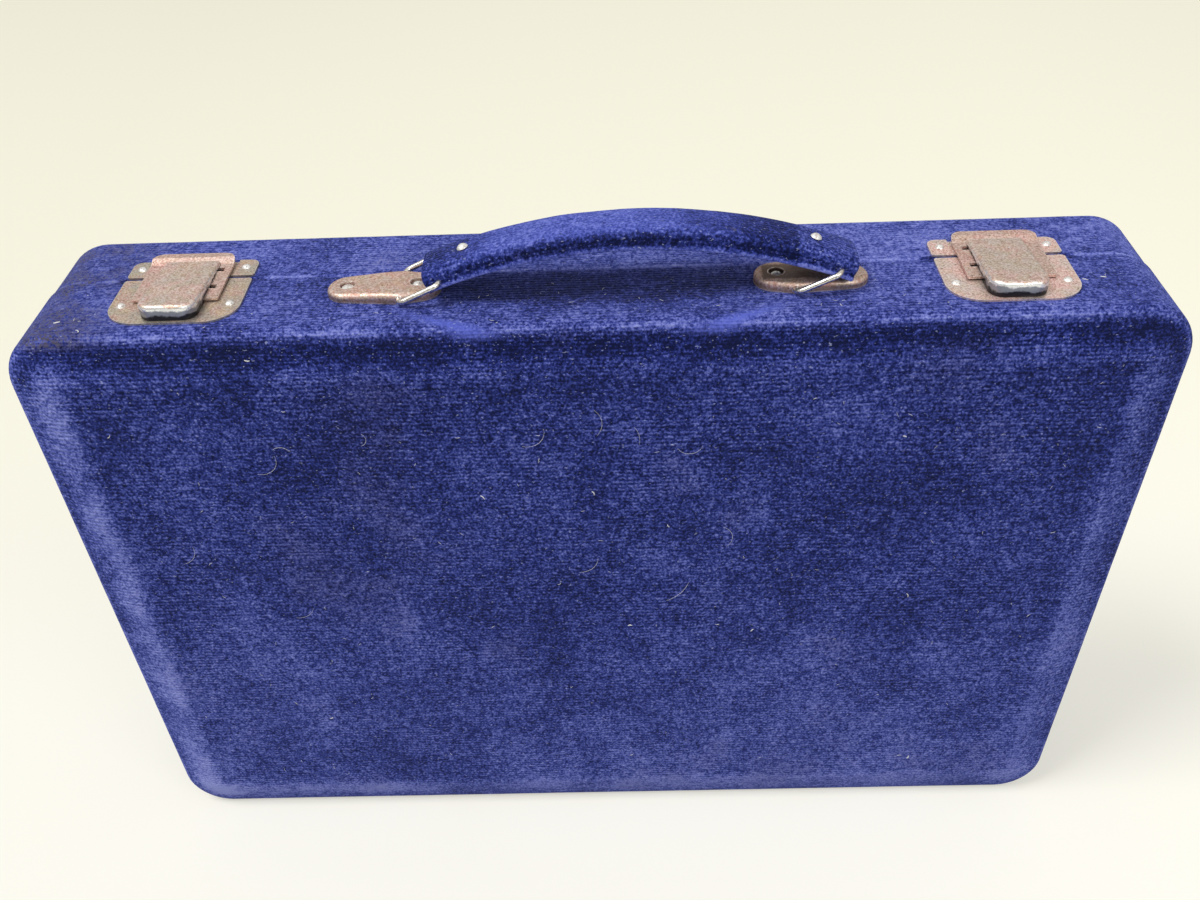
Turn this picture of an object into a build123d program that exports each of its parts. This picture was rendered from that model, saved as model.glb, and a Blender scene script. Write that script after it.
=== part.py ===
from build123d import *
import math
import os

# Mahjong case in millimetres. It stands upright on its hinge side, front face towards -Y.
# Origin: middle of the bottom face, +Z up. The front half is the base, the rear half the lid.

# Case halves
case_width = 480.0
case_height = 304.0
base_depth = 49.0
lid_depth = 43.0
lid_side_step = 0.8
corner_radius = 23.0
parting_gap = 0.4

# Crowned outer face: a wide shallow bevel with a tight rounded edge and a soft crest
bevel_width = 17.5
bevel_depth = 5.0
edge_radius = 5.0
crest_radius = 30.0

# Layers of each half, from the outside in
cover_thickness = 1.0
wall_thickness = 6.0
board_thickness = 8.0
lining_thickness = 1.0

# Compartments in the base
rack_bay_height = 70.0
divider_thickness = 6.0
divider_depth = 30.0
divider_edge_radius = 2.0
tile_divider_count = 2
tile_divider_thickness = 5.0
tile_divider_depth = 26.0

# Lid hinges, in the groove between the two bottom edges
hinge_end_distance = 80.0
hinge_length = 54.0
hinge_pin_radius = 1.2
hinge_knuckle_radius = 2.4
hinge_floor_clearance = 0.4
hinge_pocket_clearance = 0.4
hinge_knuckle_count = 5
hinge_knuckle_gap = 0.3
hinge_leaf_thickness = 0.9
hinge_leaf_reach = 15.0
groove_angle = 50.0
hinge_pin_head = 0.6
hinge_nail_count = 3
hinge_nail_radius = 0.8
hinge_nail_length = 5.0
hinge_nail_head_radius = 1.6
hinge_nail_head_height = 0.4

# Fits
running_clearance = 0.05
sliding_clearance = 0.1
end_clearance = 0.3

# Rivets shared by the latches and the handle brackets
rivet_shank_radius = 1.2
rivet_head_radius = 1.9
rivet_head_height = 1.1

# Latches: plates
latch_end_distance = 70.5
latch_offset = -1.0
plate_thickness = 0.8
plate_width = 54.0
plate_gap = 1.2
base_plate_length = 35.8
base_plate_corner = 14.0
lid_plate_length = 13.8
lid_plate_corner = 4.0
plate_tight_corner = 1.5
plate_rivet_spacing = 44.6
base_plate_rivet_inset = 21.3
lid_plate_rivet_inset = 7.2

# Latches: hasp and its hinge
hasp_width = 35.6
hasp_shift = 0.5
hasp_thickness = 0.9
hasp_lift = 0.7
hasp_front_reach = 21.0
hasp_rear_corner = 5.0
hasp_front_corner = 1.0
hasp_pin_radius = 0.6
hasp_knuckle_radius = 1.3
hasp_knuckle_floor_gap = 0.2
hasp_knuckle_length = 13.4
hasp_axis_reach = 14.5
hasp_joggle_front = 8.5
hasp_joggle_rear = 12.2
hasp_swing_gap = 1.0
lid_knuckle_length = 6.0

# Latches: sliding thumb cap
cap_width = 23.5
cap_sheet = 0.8
cap_rear_reach = 8.5
cap_front_reach = 35.5
cap_rear_height = 3.9
cap_front_height = 7.3
cap_plan_corner = 6.0
cap_edge_radius = 1.5
cap_travel = 2.5
cap_plate_gap = 0.2
leg_length = 2.6
leg_foot_thickness = 0.5
leg_foot_reach = 1.5
leg_positions = (-3.6, 10.9)

# Latches: keeper rib, catch and return spring
keeper_height = 0.7
keeper_width = 8.0
keeper_length = 2.0
keeper_reach = 27.0
catch_gap = 0.15
catch_length = 4.0
catch_nose = 5.6
catch_width = 8.4
catch_flange = 8.4
spring_sheet = 0.3
spring_height = 1.9
spring_span = 8.0
spring_reach = 15.5
spring_stop_thickness = 0.8

# Handle rings
ring_wire_radius = 1.2
ring_length = 19.0
ring_width = 28.0
ring_bend_radius = 3.0
ring_rest_angle = 24.0
ring_axis_height = 2.0

# Handle
handle_set_offset = 1.5
handle_front_distance = 33.7
ring_spacing = 159.6
handle_width = 24.0
handle_thickness = 8.5
handle_arch_rise = 15.9
handle_end_margin = 4.2
handle_pivot_height = 3.0
handle_top_round = 3.0
handle_bottom_round = 1.4
handle_bore_clearance = 0.45
core_thickness = 2.4
core_width = 20.0
core_eye_radius = 2.2
handle_rivet_spacing = 136.0
handle_rivet_radius = 2.4
handle_rivet_height = 1.4
handle_rivet_shank = 1.1

# Handle brackets
bracket_height = 4.3
bracket_nose_height = 3.2
bracket_sheet = 1.0
bracket_tunnel_inset = 7.7
bracket_rivet_spacing = 29.0
bracket_nose_radius = 8.5
bracket_tail_radius = 9.0
bracket_tunnel_half_width = 10.8
bracket_shoulder_radius = 3.5
bracket_edge_radius = 2.0
bracket_dish_radius = 4.2

# Worked out from the sizes above
case_depth = base_depth + lid_depth
parting_y = base_depth - case_depth / 2
hinge_offset = case_width / 2 - hinge_end_distance
latch_spacing = case_width - 2 * latch_end_distance
wall_inset = cover_thickness + wall_thickness
lining_inset = wall_inset + lining_thickness
hinge_axis_height = hinge_knuckle_radius + hinge_floor_clearance
hasp_axis_height = hasp_knuckle_radius + hasp_knuckle_floor_gap
hasp_bottom = plate_thickness + hasp_lift
hasp_top = hasp_bottom + hasp_thickness
hasp_rear_bottom = hasp_axis_height + hasp_knuckle_radius + hasp_knuckle_floor_gap
hasp_rear_reach = hasp_axis_reach + hasp_knuckle_radius
cap_plate_bottom = hasp_top + sliding_clearance
cap_front_bottom = plate_thickness + cap_plate_gap
handle_y = handle_front_distance - case_depth / 2
handle_half_length = ring_spacing / 2 + handle_end_margin
handle_arch_radius = (handle_half_length ** 2 + handle_arch_rise ** 2) / (2 * handle_arch_rise)
pivot_radius = handle_arch_radius + handle_pivot_height
ring_angle = math.radians(ring_rest_angle)
handle_pivot_z = case_height + ring_axis_height + ring_length * math.sin(ring_angle)
handle_shift = ring_length * math.cos(ring_angle)
arch_centre_z = handle_pivot_z - math.sqrt(pivot_radius ** 2 - (ring_spacing / 2) ** 2)


# Helpers

def block(x_range, y_range, z_range):
    """Box between two limits on each axis."""
    sizes = [limits[1] - limits[0] for limits in (x_range, y_range, z_range)]
    centre = [(limits[1] + limits[0]) / 2 for limits in (x_range, y_range, z_range)]
    return Pos(*centre) * Box(*sizes)


def rod_x(radius, x_range, y, z):
    """Round bar along X."""
    centre = (x_range[0] + x_range[1]) / 2
    return Pos(centre, y, z) * Rot(0, 90, 0) * Cylinder(radius, x_range[1] - x_range[0])


def rod_y(radius, y_range, x, z):
    """Round bar along Y."""
    centre = (y_range[0] + y_range[1]) / 2
    return Pos(x, centre, z) * Rot(90, 0, 0) * Cylinder(radius, y_range[1] - y_range[0])


def rod_z(radius, z_range, x, y):
    """Round bar along Z."""
    centre = (z_range[0] + z_range[1]) / 2
    return Pos(x, y, centre) * Cylinder(radius, z_range[1] - z_range[0])


def profile_along_x(points, x_range):
    """Prism along X from (y, z) points."""
    outline = make_face(Polyline(*[(x_range[0], y, z) for y, z in points], close=True))
    return extrude(outline, amount=x_range[1] - x_range[0], dir=(1, 0, 0))


def plan_slab(width, y_range, front_corner, rear_corner, z_range):
    """Plate seen from above, centred on x = 0, with its own corner radii at the front and rear."""
    plate = block((-width / 2, width / 2), y_range, z_range)
    plate = fillet(edges_at(plate, Axis.Z, Axis.Y, y_range[0]), front_corner)
    return fillet(edges_at(plate, Axis.Z, Axis.Y, y_range[1]), rear_corner)


def edges_at(shape, direction, axis, place):
    """Edges parallel to one axis that lie at one place on another."""
    near = 0.01
    return shape.edges().filter_by(direction).filter_by_position(axis, place - near, place + near)


def rivet(x, y, seat_z, length, head_radius, head_height, shank_radius):
    """Domed head on a seat, with its shank below."""
    dome_radius = (head_radius ** 2 + head_height ** 2) / (2 * head_height)
    dome = Pos(0, 0, head_height - dome_radius) * Sphere(dome_radius)
    room = (-head_radius * 2, head_radius * 2)
    head = dome & block(room, room, (0, head_height * 2))
    return Pos(x, y, seat_z) * (head + rod_z(shank_radius, (-length, head_height / 2), 0, 0))


def put(name, shape):
    """Write one named piece."""
    export_step(shape, "parts/" + name + ".step")


# Case halves: each is made with its parting plane at y = 0 and its outer face towards +Y

def slab(width, height, radius, y_range):
    """Rounded slab standing in the XZ plane, centred on the case."""
    outline = Plane.XZ * RectangleRounded(width, height, radius)
    length = y_range[1] - y_range[0]
    return extrude(Pos(0, y_range[0], case_height / 2) * outline, amount=length, dir=(0, 1, 0))


def hinge_groove(width, inset):
    """Wedge taken off the bottom parting edge, so that the halves can fold open round the hinge."""
    slope = math.tan(math.radians(groove_angle))
    apex = hinge_axis_height + inset / math.sin(math.radians(groove_angle))
    low = -2.0
    points = [(low, apex), (0, apex), ((apex - low) * slope, low), (low, low)]
    return profile_along_x(points, (-width / 2 - 1, width / 2 + 1))


def half_form(width, depth, inset):
    """Outer form of a half, set in by inset on every side."""
    diagonal = math.hypot(bevel_width, bevel_depth)
    shrink = inset * (bevel_width + bevel_depth - diagonal)
    face_bevel = bevel_width - shrink / bevel_depth
    side_bevel = bevel_depth - shrink / bevel_width
    y_range = (parting_gap / 2 + inset, depth - inset)
    body = slab(width - 2 * inset, case_height - 2 * inset, corner_radius - inset, y_range)
    outer_face = body.faces().sort_by(Axis.Y)[-1]
    body = chamfer(outer_face.edges(), length=face_bevel, length2=side_bevel, reference=outer_face)
    shoulder_y = y_range[1] - side_bevel
    shoulder = body.edges().filter_by_position(Axis.Y, shoulder_y - 0.01, shoulder_y + 0.01)
    body = fillet(shoulder, edge_radius - inset)
    crest = body.faces().sort_by(Axis.Y)[-1].edges()
    body = fillet(crest, crest_radius - inset)
    return body - hinge_groove(width, inset)


def hinge_pockets(depth_limit):
    """Room for the knuckles and for the leaf on the parting face, at both hinges."""
    half_length = hinge_length / 2 + hinge_pin_head + end_clearance
    leaf_face = parting_gap / 2 + cover_thickness
    pockets = []
    for side in (-1, 1):
        x_range = (side * hinge_offset - half_length, side * hinge_offset + half_length)
        radius = hinge_knuckle_radius + hinge_pocket_clearance
        pockets.append(rod_x(radius, x_range, 0, hinge_axis_height))
        z_range = (hinge_axis_height, wall_inset)
        pockets.append(block(x_range, (-1, leaf_face), z_range))
        z_range = (wall_inset - 0.01, wall_inset + hinge_leaf_thickness + hinge_nail_head_height + 1)
        pockets.append(block(x_range, (-1, depth_limit), z_range))
    return Compound(pockets)


def cavity(width, depth, inset):
    """Room inside a half, from the parting plane to its floor."""
    floor = depth - cover_thickness - board_thickness - (inset - wall_inset)
    size = (width - 2 * inset, case_height - 2 * inset)
    return slab(size[0], size[1], corner_radius - inset, (-1, floor))


def rivet_holes(places, radius):
    """Holes through the top wall for the rivets of the fittings, at (x, distance from parting)."""
    z_range = (case_height - wall_inset - lining_thickness / 2, case_height + 1)
    return [rod_z(radius, z_range, x, y) for x, y in places]


def half_layers(width, depth, holes):
    """Cover, frame, board and lining of one half, in its own frame."""
    outside = half_form(width, depth, 0)
    carcass = half_form(width, depth, cover_thickness)
    board_seat = depth - cover_thickness - board_thickness
    mouth = cavity(width, depth, wall_inset)
    leaf_end = parting_gap / 2 + cover_thickness - hinge_leaf_thickness + hinge_leaf_reach + end_clearance
    pockets = hinge_pockets(leaf_end)
    front_part = block((-width, width), (-1, board_seat), (-1, case_height + 1))
    drills = rivet_holes(holes, rivet_shank_radius)
    cover = outside - carcass - mouth - pockets
    frame = (carcass & front_part) - mouth - pockets
    board = carcass - front_part
    lining_room = mouth & block((-width, width), (parting_gap / 2, depth), (-1, case_height + 1))
    lining = lining_room - cavity(width, depth, lining_inset) - pockets
    wall_part = block((-width, width), (-1, depth), (case_height - wall_inset, case_height + 1))
    for drill in drills:
        cover = cover - drill
        frame = frame - (drill & wall_part)
    return {"covering": cover, "frame": frame, "panel": board, "lining": lining}


def place_base(shape):
    """Turn a half over so that it opens to the rear, and set it in front of the parting plane."""
    return Pos(0, parting_y, 0) * mirror(shape, about=Plane.XZ)


def place_lid(shape):
    return Pos(0, parting_y, 0) * shape


# Compartments

def rack_divider():
    """Long board between the rack bay and the tile wells."""
    half_width = case_width / 2 - lining_inset
    top = case_height - lining_inset - rack_bay_height
    floor = -case_depth / 2 + cover_thickness + board_thickness + lining_thickness
    z_range = (top - divider_thickness, top)
    board = block((-half_width, half_width), (floor, floor + divider_depth), z_range)
    return fillet(edges_at(board, Axis.X, Axis.Y, floor + divider_depth), divider_edge_radius)


def tile_dividers():
    """Short boards that part the tile wells, evenly spaced."""
    room = case_width - 2 * lining_inset
    pitch = room / (tile_divider_count + 1)
    floor = -case_depth / 2 + cover_thickness + board_thickness + lining_thickness
    z_range = (lining_inset, case_height - lining_inset - rack_bay_height - divider_thickness)
    boards = []
    for index in range(tile_divider_count):
        x = -room / 2 + pitch * (index + 1)
        x_range = (x - tile_divider_thickness / 2, x + tile_divider_thickness / 2)
        y_range = (floor, floor + tile_divider_depth)
        board = block(x_range, y_range, z_range)
        boards.append(fillet(edges_at(board, Axis.Z, Axis.Y, y_range[1]), divider_edge_radius))
    return Compound(boards)


# Lid hinges

def knuckle_ranges():
    """Length of each knuckle along the pin."""
    pitch = hinge_length / hinge_knuckle_count
    start = -hinge_length / 2
    gap = hinge_knuckle_gap / 2
    return [(start + pitch * i + gap, start + pitch * (i + 1) - gap) for i in range(hinge_knuckle_count)]


def hinge_leaf(turn):
    """Leaf that wraps from the pin over the end of the bottom wall. Turn 0 or 1 picks its knuckles."""
    inner = parting_gap / 2 + cover_thickness - hinge_leaf_thickness
    outer = inner + hinge_leaf_thickness
    half = hinge_length / 2
    upright = block((-half, half), (inner, outer), (hinge_axis_height, wall_inset + hinge_leaf_thickness))
    flat_z = (wall_inset, wall_inset + hinge_leaf_thickness)
    leaf = upright + block((-half, half), (inner, inner + hinge_leaf_reach), flat_z)
    for index, x_range in enumerate(knuckle_ranges()):
        if index % 2 == turn:
            leaf = leaf + rod_x(hinge_knuckle_radius, x_range, 0, hinge_axis_height)
        else:
            room = (x_range[0] - hinge_knuckle_gap, x_range[1] + hinge_knuckle_gap)
            leaf = leaf - rod_x(hinge_knuckle_radius + end_clearance, room, 0, hinge_axis_height)
    bore = hinge_pin_radius if turn else hinge_pin_radius + running_clearance
    leaf = leaf - rod_x(bore, (-half - 1, half + 1), 0, hinge_axis_height)
    for x, y in hinge_nail_places():
        leaf = leaf - rod_z(hinge_nail_radius, (wall_inset - 1, wall_inset + 3), x, y)
    return leaf


def hinge_nail_places():
    """Nails along the leaf, inside the case."""
    inner = parting_gap / 2 + cover_thickness - hinge_leaf_thickness
    pitch = hinge_length / hinge_nail_count
    start = -hinge_length / 2 + pitch / 2
    return [(start + pitch * i, inner + hinge_leaf_reach * 0.6) for i in range(hinge_nail_count)]


def hinge_nails():
    nails = []
    for x, y in hinge_nail_places():
        seat = wall_inset + hinge_leaf_thickness
        nails.append(rivet(x, y, seat, hinge_nail_length, hinge_nail_head_radius, hinge_nail_head_height,
                           hinge_nail_radius))
    return nails


def nail_holes():
    """Drilled holes in the bottom wall for the nails of both hinges."""
    z_range = (wall_inset + hinge_leaf_thickness - hinge_nail_length, wall_inset + 1)
    holes = []
    for side in (-1, 1):
        for x, y in hinge_nail_places():
            holes.append(rod_z(hinge_nail_radius, z_range, side * hinge_offset + x, y))
    return holes


def hinge_pin():
    """Pin with a small head on each end."""
    half = hinge_length / 2
    pin = rod_x(hinge_pin_radius, (-half, half), 0, hinge_axis_height)
    for side in (-1, 1):
        ends = sorted((side * half, side * (half + hinge_pin_head)))
        pin = pin + rod_x(hinge_pin_radius * 1.5, ends, 0, hinge_axis_height)
    return pin


# Latches: made for the right-hand side, x = 0 at the middle of the plates, y = 0 at the parting
# plane with +Y to the rear, z = 0 on the top of the case

def base_plate():
    y_range = (-plate_gap - base_plate_length, -plate_gap)
    plate = plan_slab(plate_width, y_range, base_plate_corner, plate_tight_corner, (0, plate_thickness))
    for x, y in base_plate_rivets():
        plate = plate - rod_z(rivet_shank_radius, (-1, plate_thickness + 1), x, y)
    return plate


def base_plate_rivets():
    return [(side * plate_rivet_spacing / 2, -plate_gap - base_plate_rivet_inset) for side in (-1, 1)]


def lid_plate_rivets():
    return [(side * plate_rivet_spacing / 2, plate_gap + lid_plate_rivet_inset) for side in (-1, 1)]


def lid_plate():
    """Plate with two ears, cut back between them where the hasp swings, and two hinge knuckles."""
    y_range = (plate_gap, plate_gap + lid_plate_length)
    plate = plan_slab(plate_width, y_range, plate_tight_corner, lid_plate_corner, (0, plate_thickness))
    swing_x = (-hasp_width / 2 + hasp_shift - hasp_swing_gap, hasp_width / 2 + hasp_shift + hasp_swing_gap)
    cut_back = hasp_axis_reach - hasp_knuckle_radius - end_clearance
    plate = plate - block(swing_x, (cut_back, y_range[1] + 1), (-1, plate_thickness + 1))
    for side in (-1, 1):
        near = side * (hasp_knuckle_length / 2 + end_clearance)
        ends = sorted((near, near + side * lid_knuckle_length))
        plate = plate + block(ends, (cut_back - 1, hasp_axis_reach), (0, plate_thickness))
        plate = plate + rod_x(hasp_knuckle_radius, ends, hasp_axis_reach, hasp_axis_height)
    plate = plate - rod_x(hasp_pin_radius, (-plate_width, plate_width), hasp_axis_reach, hasp_axis_height)
    for x, y in lid_plate_rivets():
        plate = plate - rod_z(rivet_shank_radius, (-1, plate_thickness + 1), x, y)
    return plate


def hasp_pin():
    half = hasp_knuckle_length / 2 + end_clearance + lid_knuckle_length
    return rod_x(hasp_pin_radius, (-half, half), hasp_axis_reach, hasp_axis_height)


def plate_rivets(places):
    length = plate_thickness + wall_inset
    return Compound([rivet(x, y, plate_thickness, length, rivet_head_radius, rivet_head_height,
                           rivet_shank_radius) for x, y in places])


def hasp():
    """Folded plate over both latch plates, curled round the pin at its rear."""
    rear_top = hasp_rear_bottom + hasp_thickness
    points = [
        (-hasp_front_reach, hasp_bottom),
        (hasp_joggle_front, hasp_bottom),
        (hasp_joggle_rear, hasp_rear_bottom),
        (hasp_rear_reach, hasp_rear_bottom),
        (hasp_rear_reach, rear_top),
        (hasp_joggle_rear, rear_top),
        (hasp_joggle_front, hasp_top),
        (-hasp_front_reach, hasp_top),
    ]
    sheet = profile_along_x(points, (-hasp_width / 2, hasp_width / 2))
    plan = plan_slab(hasp_width, (-hasp_front_reach, hasp_rear_reach), hasp_front_corner, hasp_rear_corner,
                     (0, rear_top + 1))
    sheet = Pos(hasp_shift, 0, 0) * (sheet & plan)
    ends = (-hasp_knuckle_length / 2, hasp_knuckle_length / 2)
    curl = rod_x(hasp_knuckle_radius, ends, hasp_axis_reach, hasp_axis_height)
    curl_y = (hasp_rear_reach - hasp_thickness, hasp_rear_reach)
    curl = curl + block(ends, curl_y, (hasp_axis_height, hasp_rear_bottom + hasp_thickness / 2))
    plate = sheet + curl
    bore = hasp_pin_radius + running_clearance
    plate = plate - rod_x(bore, (-hasp_width, hasp_width), hasp_axis_reach, hasp_axis_height)
    for slot in leg_slots():
        plate = plate - slot
    return plate + spring_stop()


def spring_stop():
    """Tab lanced up from the hasp, which the return spring bears on."""
    x = cap_width / 2 - cap_sheet - spring_span - spring_stop_thickness
    y_range = (-spring_reach - spring_span / 2, -spring_reach + spring_span / 2)
    return block((x, x + spring_stop_thickness), y_range, (hasp_top, hasp_top + spring_height))


def leg_walls():
    """Place of each guide leg of the cap: side, and its wall's limits along X."""
    outer = cap_width / 2
    return [(-1, (-outer, -outer + cap_sheet)), (1, (outer - cap_sheet, outer))]


def leg_slots():
    """Slots in the hasp that the legs of the cap slide in."""
    slots = []
    for side, wall in leg_walls():
        x_range = (wall[0] - cap_travel - sliding_clearance * 2, wall[1] + sliding_clearance * 2)
        for reach in leg_positions:
            half = leg_length / 2 + sliding_clearance * 2
            slots.append(block(x_range, (-reach - half, -reach + half), (0, hasp_top + 1)))
    return slots


def cap_roof(y):
    """Height of the roof of the cap at a distance behind the parting plane."""
    share = (cap_rear_reach - y) / (cap_rear_reach + cap_front_reach)
    return cap_rear_height + share * (cap_front_height - cap_rear_height)


def cap_form(inset):
    """Wedge form of the cap, set in by inset on its walls and roof."""
    front = -cap_front_reach + inset
    rear = cap_rear_reach - inset
    points = [(front, 0), (rear, 0), (rear, cap_roof(rear) - inset), (front, cap_roof(front) - inset)]
    half = cap_width / 2 - inset
    body = profile_along_x(points, (-half, half))
    body = fillet(edges_at(body, Axis.Z, Axis.Y, front), cap_plan_corner - inset)
    if cap_edge_radius > inset:
        brim = body.faces().sort_by(Axis.Z)[-1].edges()
        brim = [edge for edge in brim if edge.center().Y < rear - 0.1]
        body = fillet(brim, cap_edge_radius - inset)
    return body


def thumb_cap():
    """Hollow wedge that slides on the hasp, held by four legs through its slots."""
    over_hasp = hasp_front_reach + end_clearance
    form = cap_form(0) - cap_form(cap_sheet)
    low = -1.0
    across = (-cap_width, cap_width)
    form = form - block(across, (-over_hasp, cap_rear_reach + 1), (low, cap_plate_bottom))
    form = form - block(across, (-cap_front_reach - 1, -over_hasp), (low, cap_front_bottom))
    foot_z = (hasp_bottom - sliding_clearance - leg_foot_thickness, hasp_bottom - sliding_clearance)
    for side, wall in leg_walls():
        for reach in leg_positions:
            y_range = (-reach - leg_length / 2, -reach + leg_length / 2)
            form = form + block(wall, y_range, (foot_z[0], cap_plate_bottom))
            outer = side * cap_width / 2
            foot = sorted((outer, outer - side * leg_foot_reach))
            form = form + block(foot, y_range, foot_z)
    return form


def keeper():
    """Low rib on the base plate below the nose of the catch."""
    y_range = (-keeper_reach - keeper_length / 2, -keeper_reach + keeper_length / 2)
    x_range = (-keeper_width / 2, keeper_width / 2)
    rib = block(x_range, y_range, (plate_thickness, plate_thickness + keeper_height))
    top = rib.faces().sort_by(Axis.Z)[-1].edges().filter_by(Axis.X)
    return fillet(top, keeper_height * 0.9)


def catch():
    """Folded catch on the underside of the roof of the cap, its nose above the keeper."""
    nose_bottom = plate_thickness + keeper_height + catch_gap
    y_range = (-keeper_reach - catch_length / 2, -keeper_reach + catch_length / 2)
    left = -catch_width / 2
    roof_form = cap_form(cap_sheet)
    upright = roof_form & block((left, left + cap_sheet), y_range, (nose_bottom, cap_front_height))
    nose = block((left, left + catch_nose), y_range, (nose_bottom, nose_bottom + cap_sheet))
    flange = roof_form - Pos(0, 0, -cap_sheet) * roof_form
    flange = flange & block((left, left + catch_flange), y_range, (nose_bottom, cap_front_height))
    return upright + nose + flange


def spring():
    """Folded leaf spring between the stop on the hasp and the outer wall of the cap."""
    x = cap_width / 2 - cap_sheet - spring_span
    far = x + spring_span
    middle = x + spring_span / 2
    front = -spring_reach - spring_span / 4
    rear = -spring_reach + spring_span / 4
    fold = spring_sheet * 1.5
    outline = [(x, front), (x + fold, front), (middle, rear - fold), (far - fold, front), (far, front),
               (middle + spring_sheet, rear), (middle - spring_sheet, rear)]
    bottom = hasp_top + sliding_clearance
    face = make_face(Polyline(*[(px, py, bottom) for px, py in outline], close=True))
    return extrude(face, amount=spring_height - sliding_clearance, dir=(0, 0, 1))


def place_latch(shape, side):
    """Set a right-hand latch piece on the right, or its mirror image on the left."""
    shape = shape if side > 0 else mirror(shape, about=Plane.YZ)
    return Pos(latch_offset + side * latch_spacing / 2, parting_y, case_height) * shape


# Handle rings and brackets

def ring():
    """Wire ring about its lower leg, leaning at its rest angle."""
    half = ring_width / 2
    outline = RectangleRounded(ring_length, ring_width, ring_bend_radius).wire()
    path = Pos(ring_length / 2, 0, 0) * outline
    start = path.position_at(0)
    section = Plane(origin=start, z_dir=path.tangent_at(0)) * Circle(ring_wire_radius)
    return Rot(0, -ring_rest_angle, 0) * sweep(section, path=path)


def bracket_outline(inset):
    """Plan of the bracket: narrow nose outside, wide shoulders at the tunnel, round tail inside."""
    nose = Pos(bracket_rivet_spacing / 2, 0) * Circle(bracket_nose_radius - inset)
    tail = Pos(-bracket_rivet_spacing / 2, 0) * Circle(bracket_tail_radius - inset)
    shoulder_y = bracket_tunnel_half_width - bracket_shoulder_radius
    shoulders = [Pos(-bracket_tunnel_inset, side * shoulder_y) * Circle(bracket_shoulder_radius - inset)
                 for side in (-1, 1)]
    edges = nose.edges() + tail.edges() + shoulders[0].edges() + shoulders[1].edges()
    return make_hull(edges)


def bracket_form(inset):
    """Pressed form of the bracket, its nose lower than its tunnel."""
    body = extrude(bracket_outline(inset), amount=bracket_height - inset)
    far = bracket_rivet_spacing / 2 + bracket_nose_radius
    top = bracket_height - inset
    nose_top = bracket_nose_height - inset
    half = bracket_tunnel_half_width + 1
    slope = make_face(Polyline((0, -half, top), (far, -half, nose_top), (far + 5, -half, nose_top),
                               (far + 5, -half, top + 1), (0, -half, top + 1), close=True))
    body = body - extrude(slope, amount=2 * half, dir=(0, 1, 0))
    if bracket_edge_radius > inset:
        high_edges = [edge for edge in body.edges() if edge.center().Z > nose_top * 0.7]
        brim = [edge for edge in high_edges if not touches_fold(edge)]
        body = fillet(brim, bracket_edge_radius - inset)
    return body


def touches_fold(edge):
    """True for the edge across the bracket where the top starts to fall towards the nose."""
    box = edge.bounding_box()
    return box.max.X - box.min.X < 0.01


def bracket_rivet_places():
    return [(-bracket_rivet_spacing / 2, 0), (bracket_rivet_spacing / 2, 0)]


def bracket():
    """Pressed bracket with two sunk rivet seats and a hole in each side for the ring."""
    form = bracket_form(0)
    shell = form - bracket_form(bracket_sheet)
    for x, y in bracket_rivet_places():
        shell = shell + (form & rod_z(bracket_dish_radius, (0, bracket_height), x, y))
        dish_radius = bracket_dish_radius - bracket_sheet
        shell = shell - rod_z(dish_radius, (bracket_sheet, bracket_height + 1), x, y)
        shell = shell - rod_z(rivet_shank_radius, (-1, bracket_sheet + 1), x, y)
    reach = bracket_tunnel_half_width + 1
    bore = ring_wire_radius + running_clearance
    return shell - rod_y(bore, (-reach, reach), -bracket_tunnel_inset, ring_axis_height)


def bracket_rivets():
    length = bracket_sheet + wall_inset
    return Compound([rivet(x, y, bracket_sheet, length, rivet_head_radius, rivet_head_height,
                           rivet_shank_radius) for x, y in bracket_rivet_places()])


def place_bracket(shape, side):
    """Set a right-hand bracket piece with its tunnel on the pivot of the ring."""
    shape = shape if side > 0 else mirror(shape, about=Plane.YZ)
    x = handle_set_offset + side * (ring_spacing / 2 + bracket_tunnel_inset)
    return Pos(x, handle_y, case_height) * shape


def place_ring(shape, side):
    x = handle_set_offset + side * ring_spacing / 2
    return Pos(x, handle_y, case_height + ring_axis_height) * shape


# Handle: x = 0 at its middle, y = 0 on its centre line, z as in the case

def arch(inner_radius, outer_radius, half_length, width):
    """Arched bar with square ends, from the radii of its underside and top."""
    half_angle = math.asin(half_length / handle_arch_radius)

    def at(radius, angle):
        return (radius * math.sin(angle), -width / 2, arch_centre_z + radius * math.cos(angle))

    under = ThreePointArc(at(inner_radius, -half_angle), at(inner_radius, 0), at(inner_radius, half_angle))
    top = ThreePointArc(at(outer_radius, -half_angle), at(outer_radius, 0), at(outer_radius, half_angle))
    ends = [Line(under @ 0, top @ 0), Line(under @ 1, top @ 1)]
    return extrude(make_face([under, ends[1], top, ends[0]]), amount=width, dir=(0, 1, 0))


def pivot_places():
    return [(side * ring_spacing / 2, handle_pivot_z) for side in (-1, 1)]


def core_strip():
    half = core_thickness / 2
    return arch(pivot_radius - half, pivot_radius + half, ring_spacing / 2, core_width)


def core_form():
    """Stiff strip with an eye at each end for the wire."""
    strip = core_strip()
    half = core_width / 2
    for x, z in pivot_places():
        strip = strip + rod_y(core_eye_radius, (-half, half), x, z)
    return strip


def handle_rivet_places():
    """Place and tilt of the rivets that hold the cover to the core."""
    angle = math.asin(handle_rivet_spacing / 2 / handle_arch_radius)
    return [(side, side * angle) for side in (-1, 1)]


def handle_rivet_shanks(radius):
    top = handle_arch_radius + handle_thickness
    shanks = []
    for side, angle in handle_rivet_places():
        shank = rod_z(radius, (pivot_radius - core_thickness / 2, top), 0, 0)
        shanks.append(Pos(0, 0, arch_centre_z) * Rot(0, math.degrees(angle), 0) * shank)
    return shanks


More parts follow.
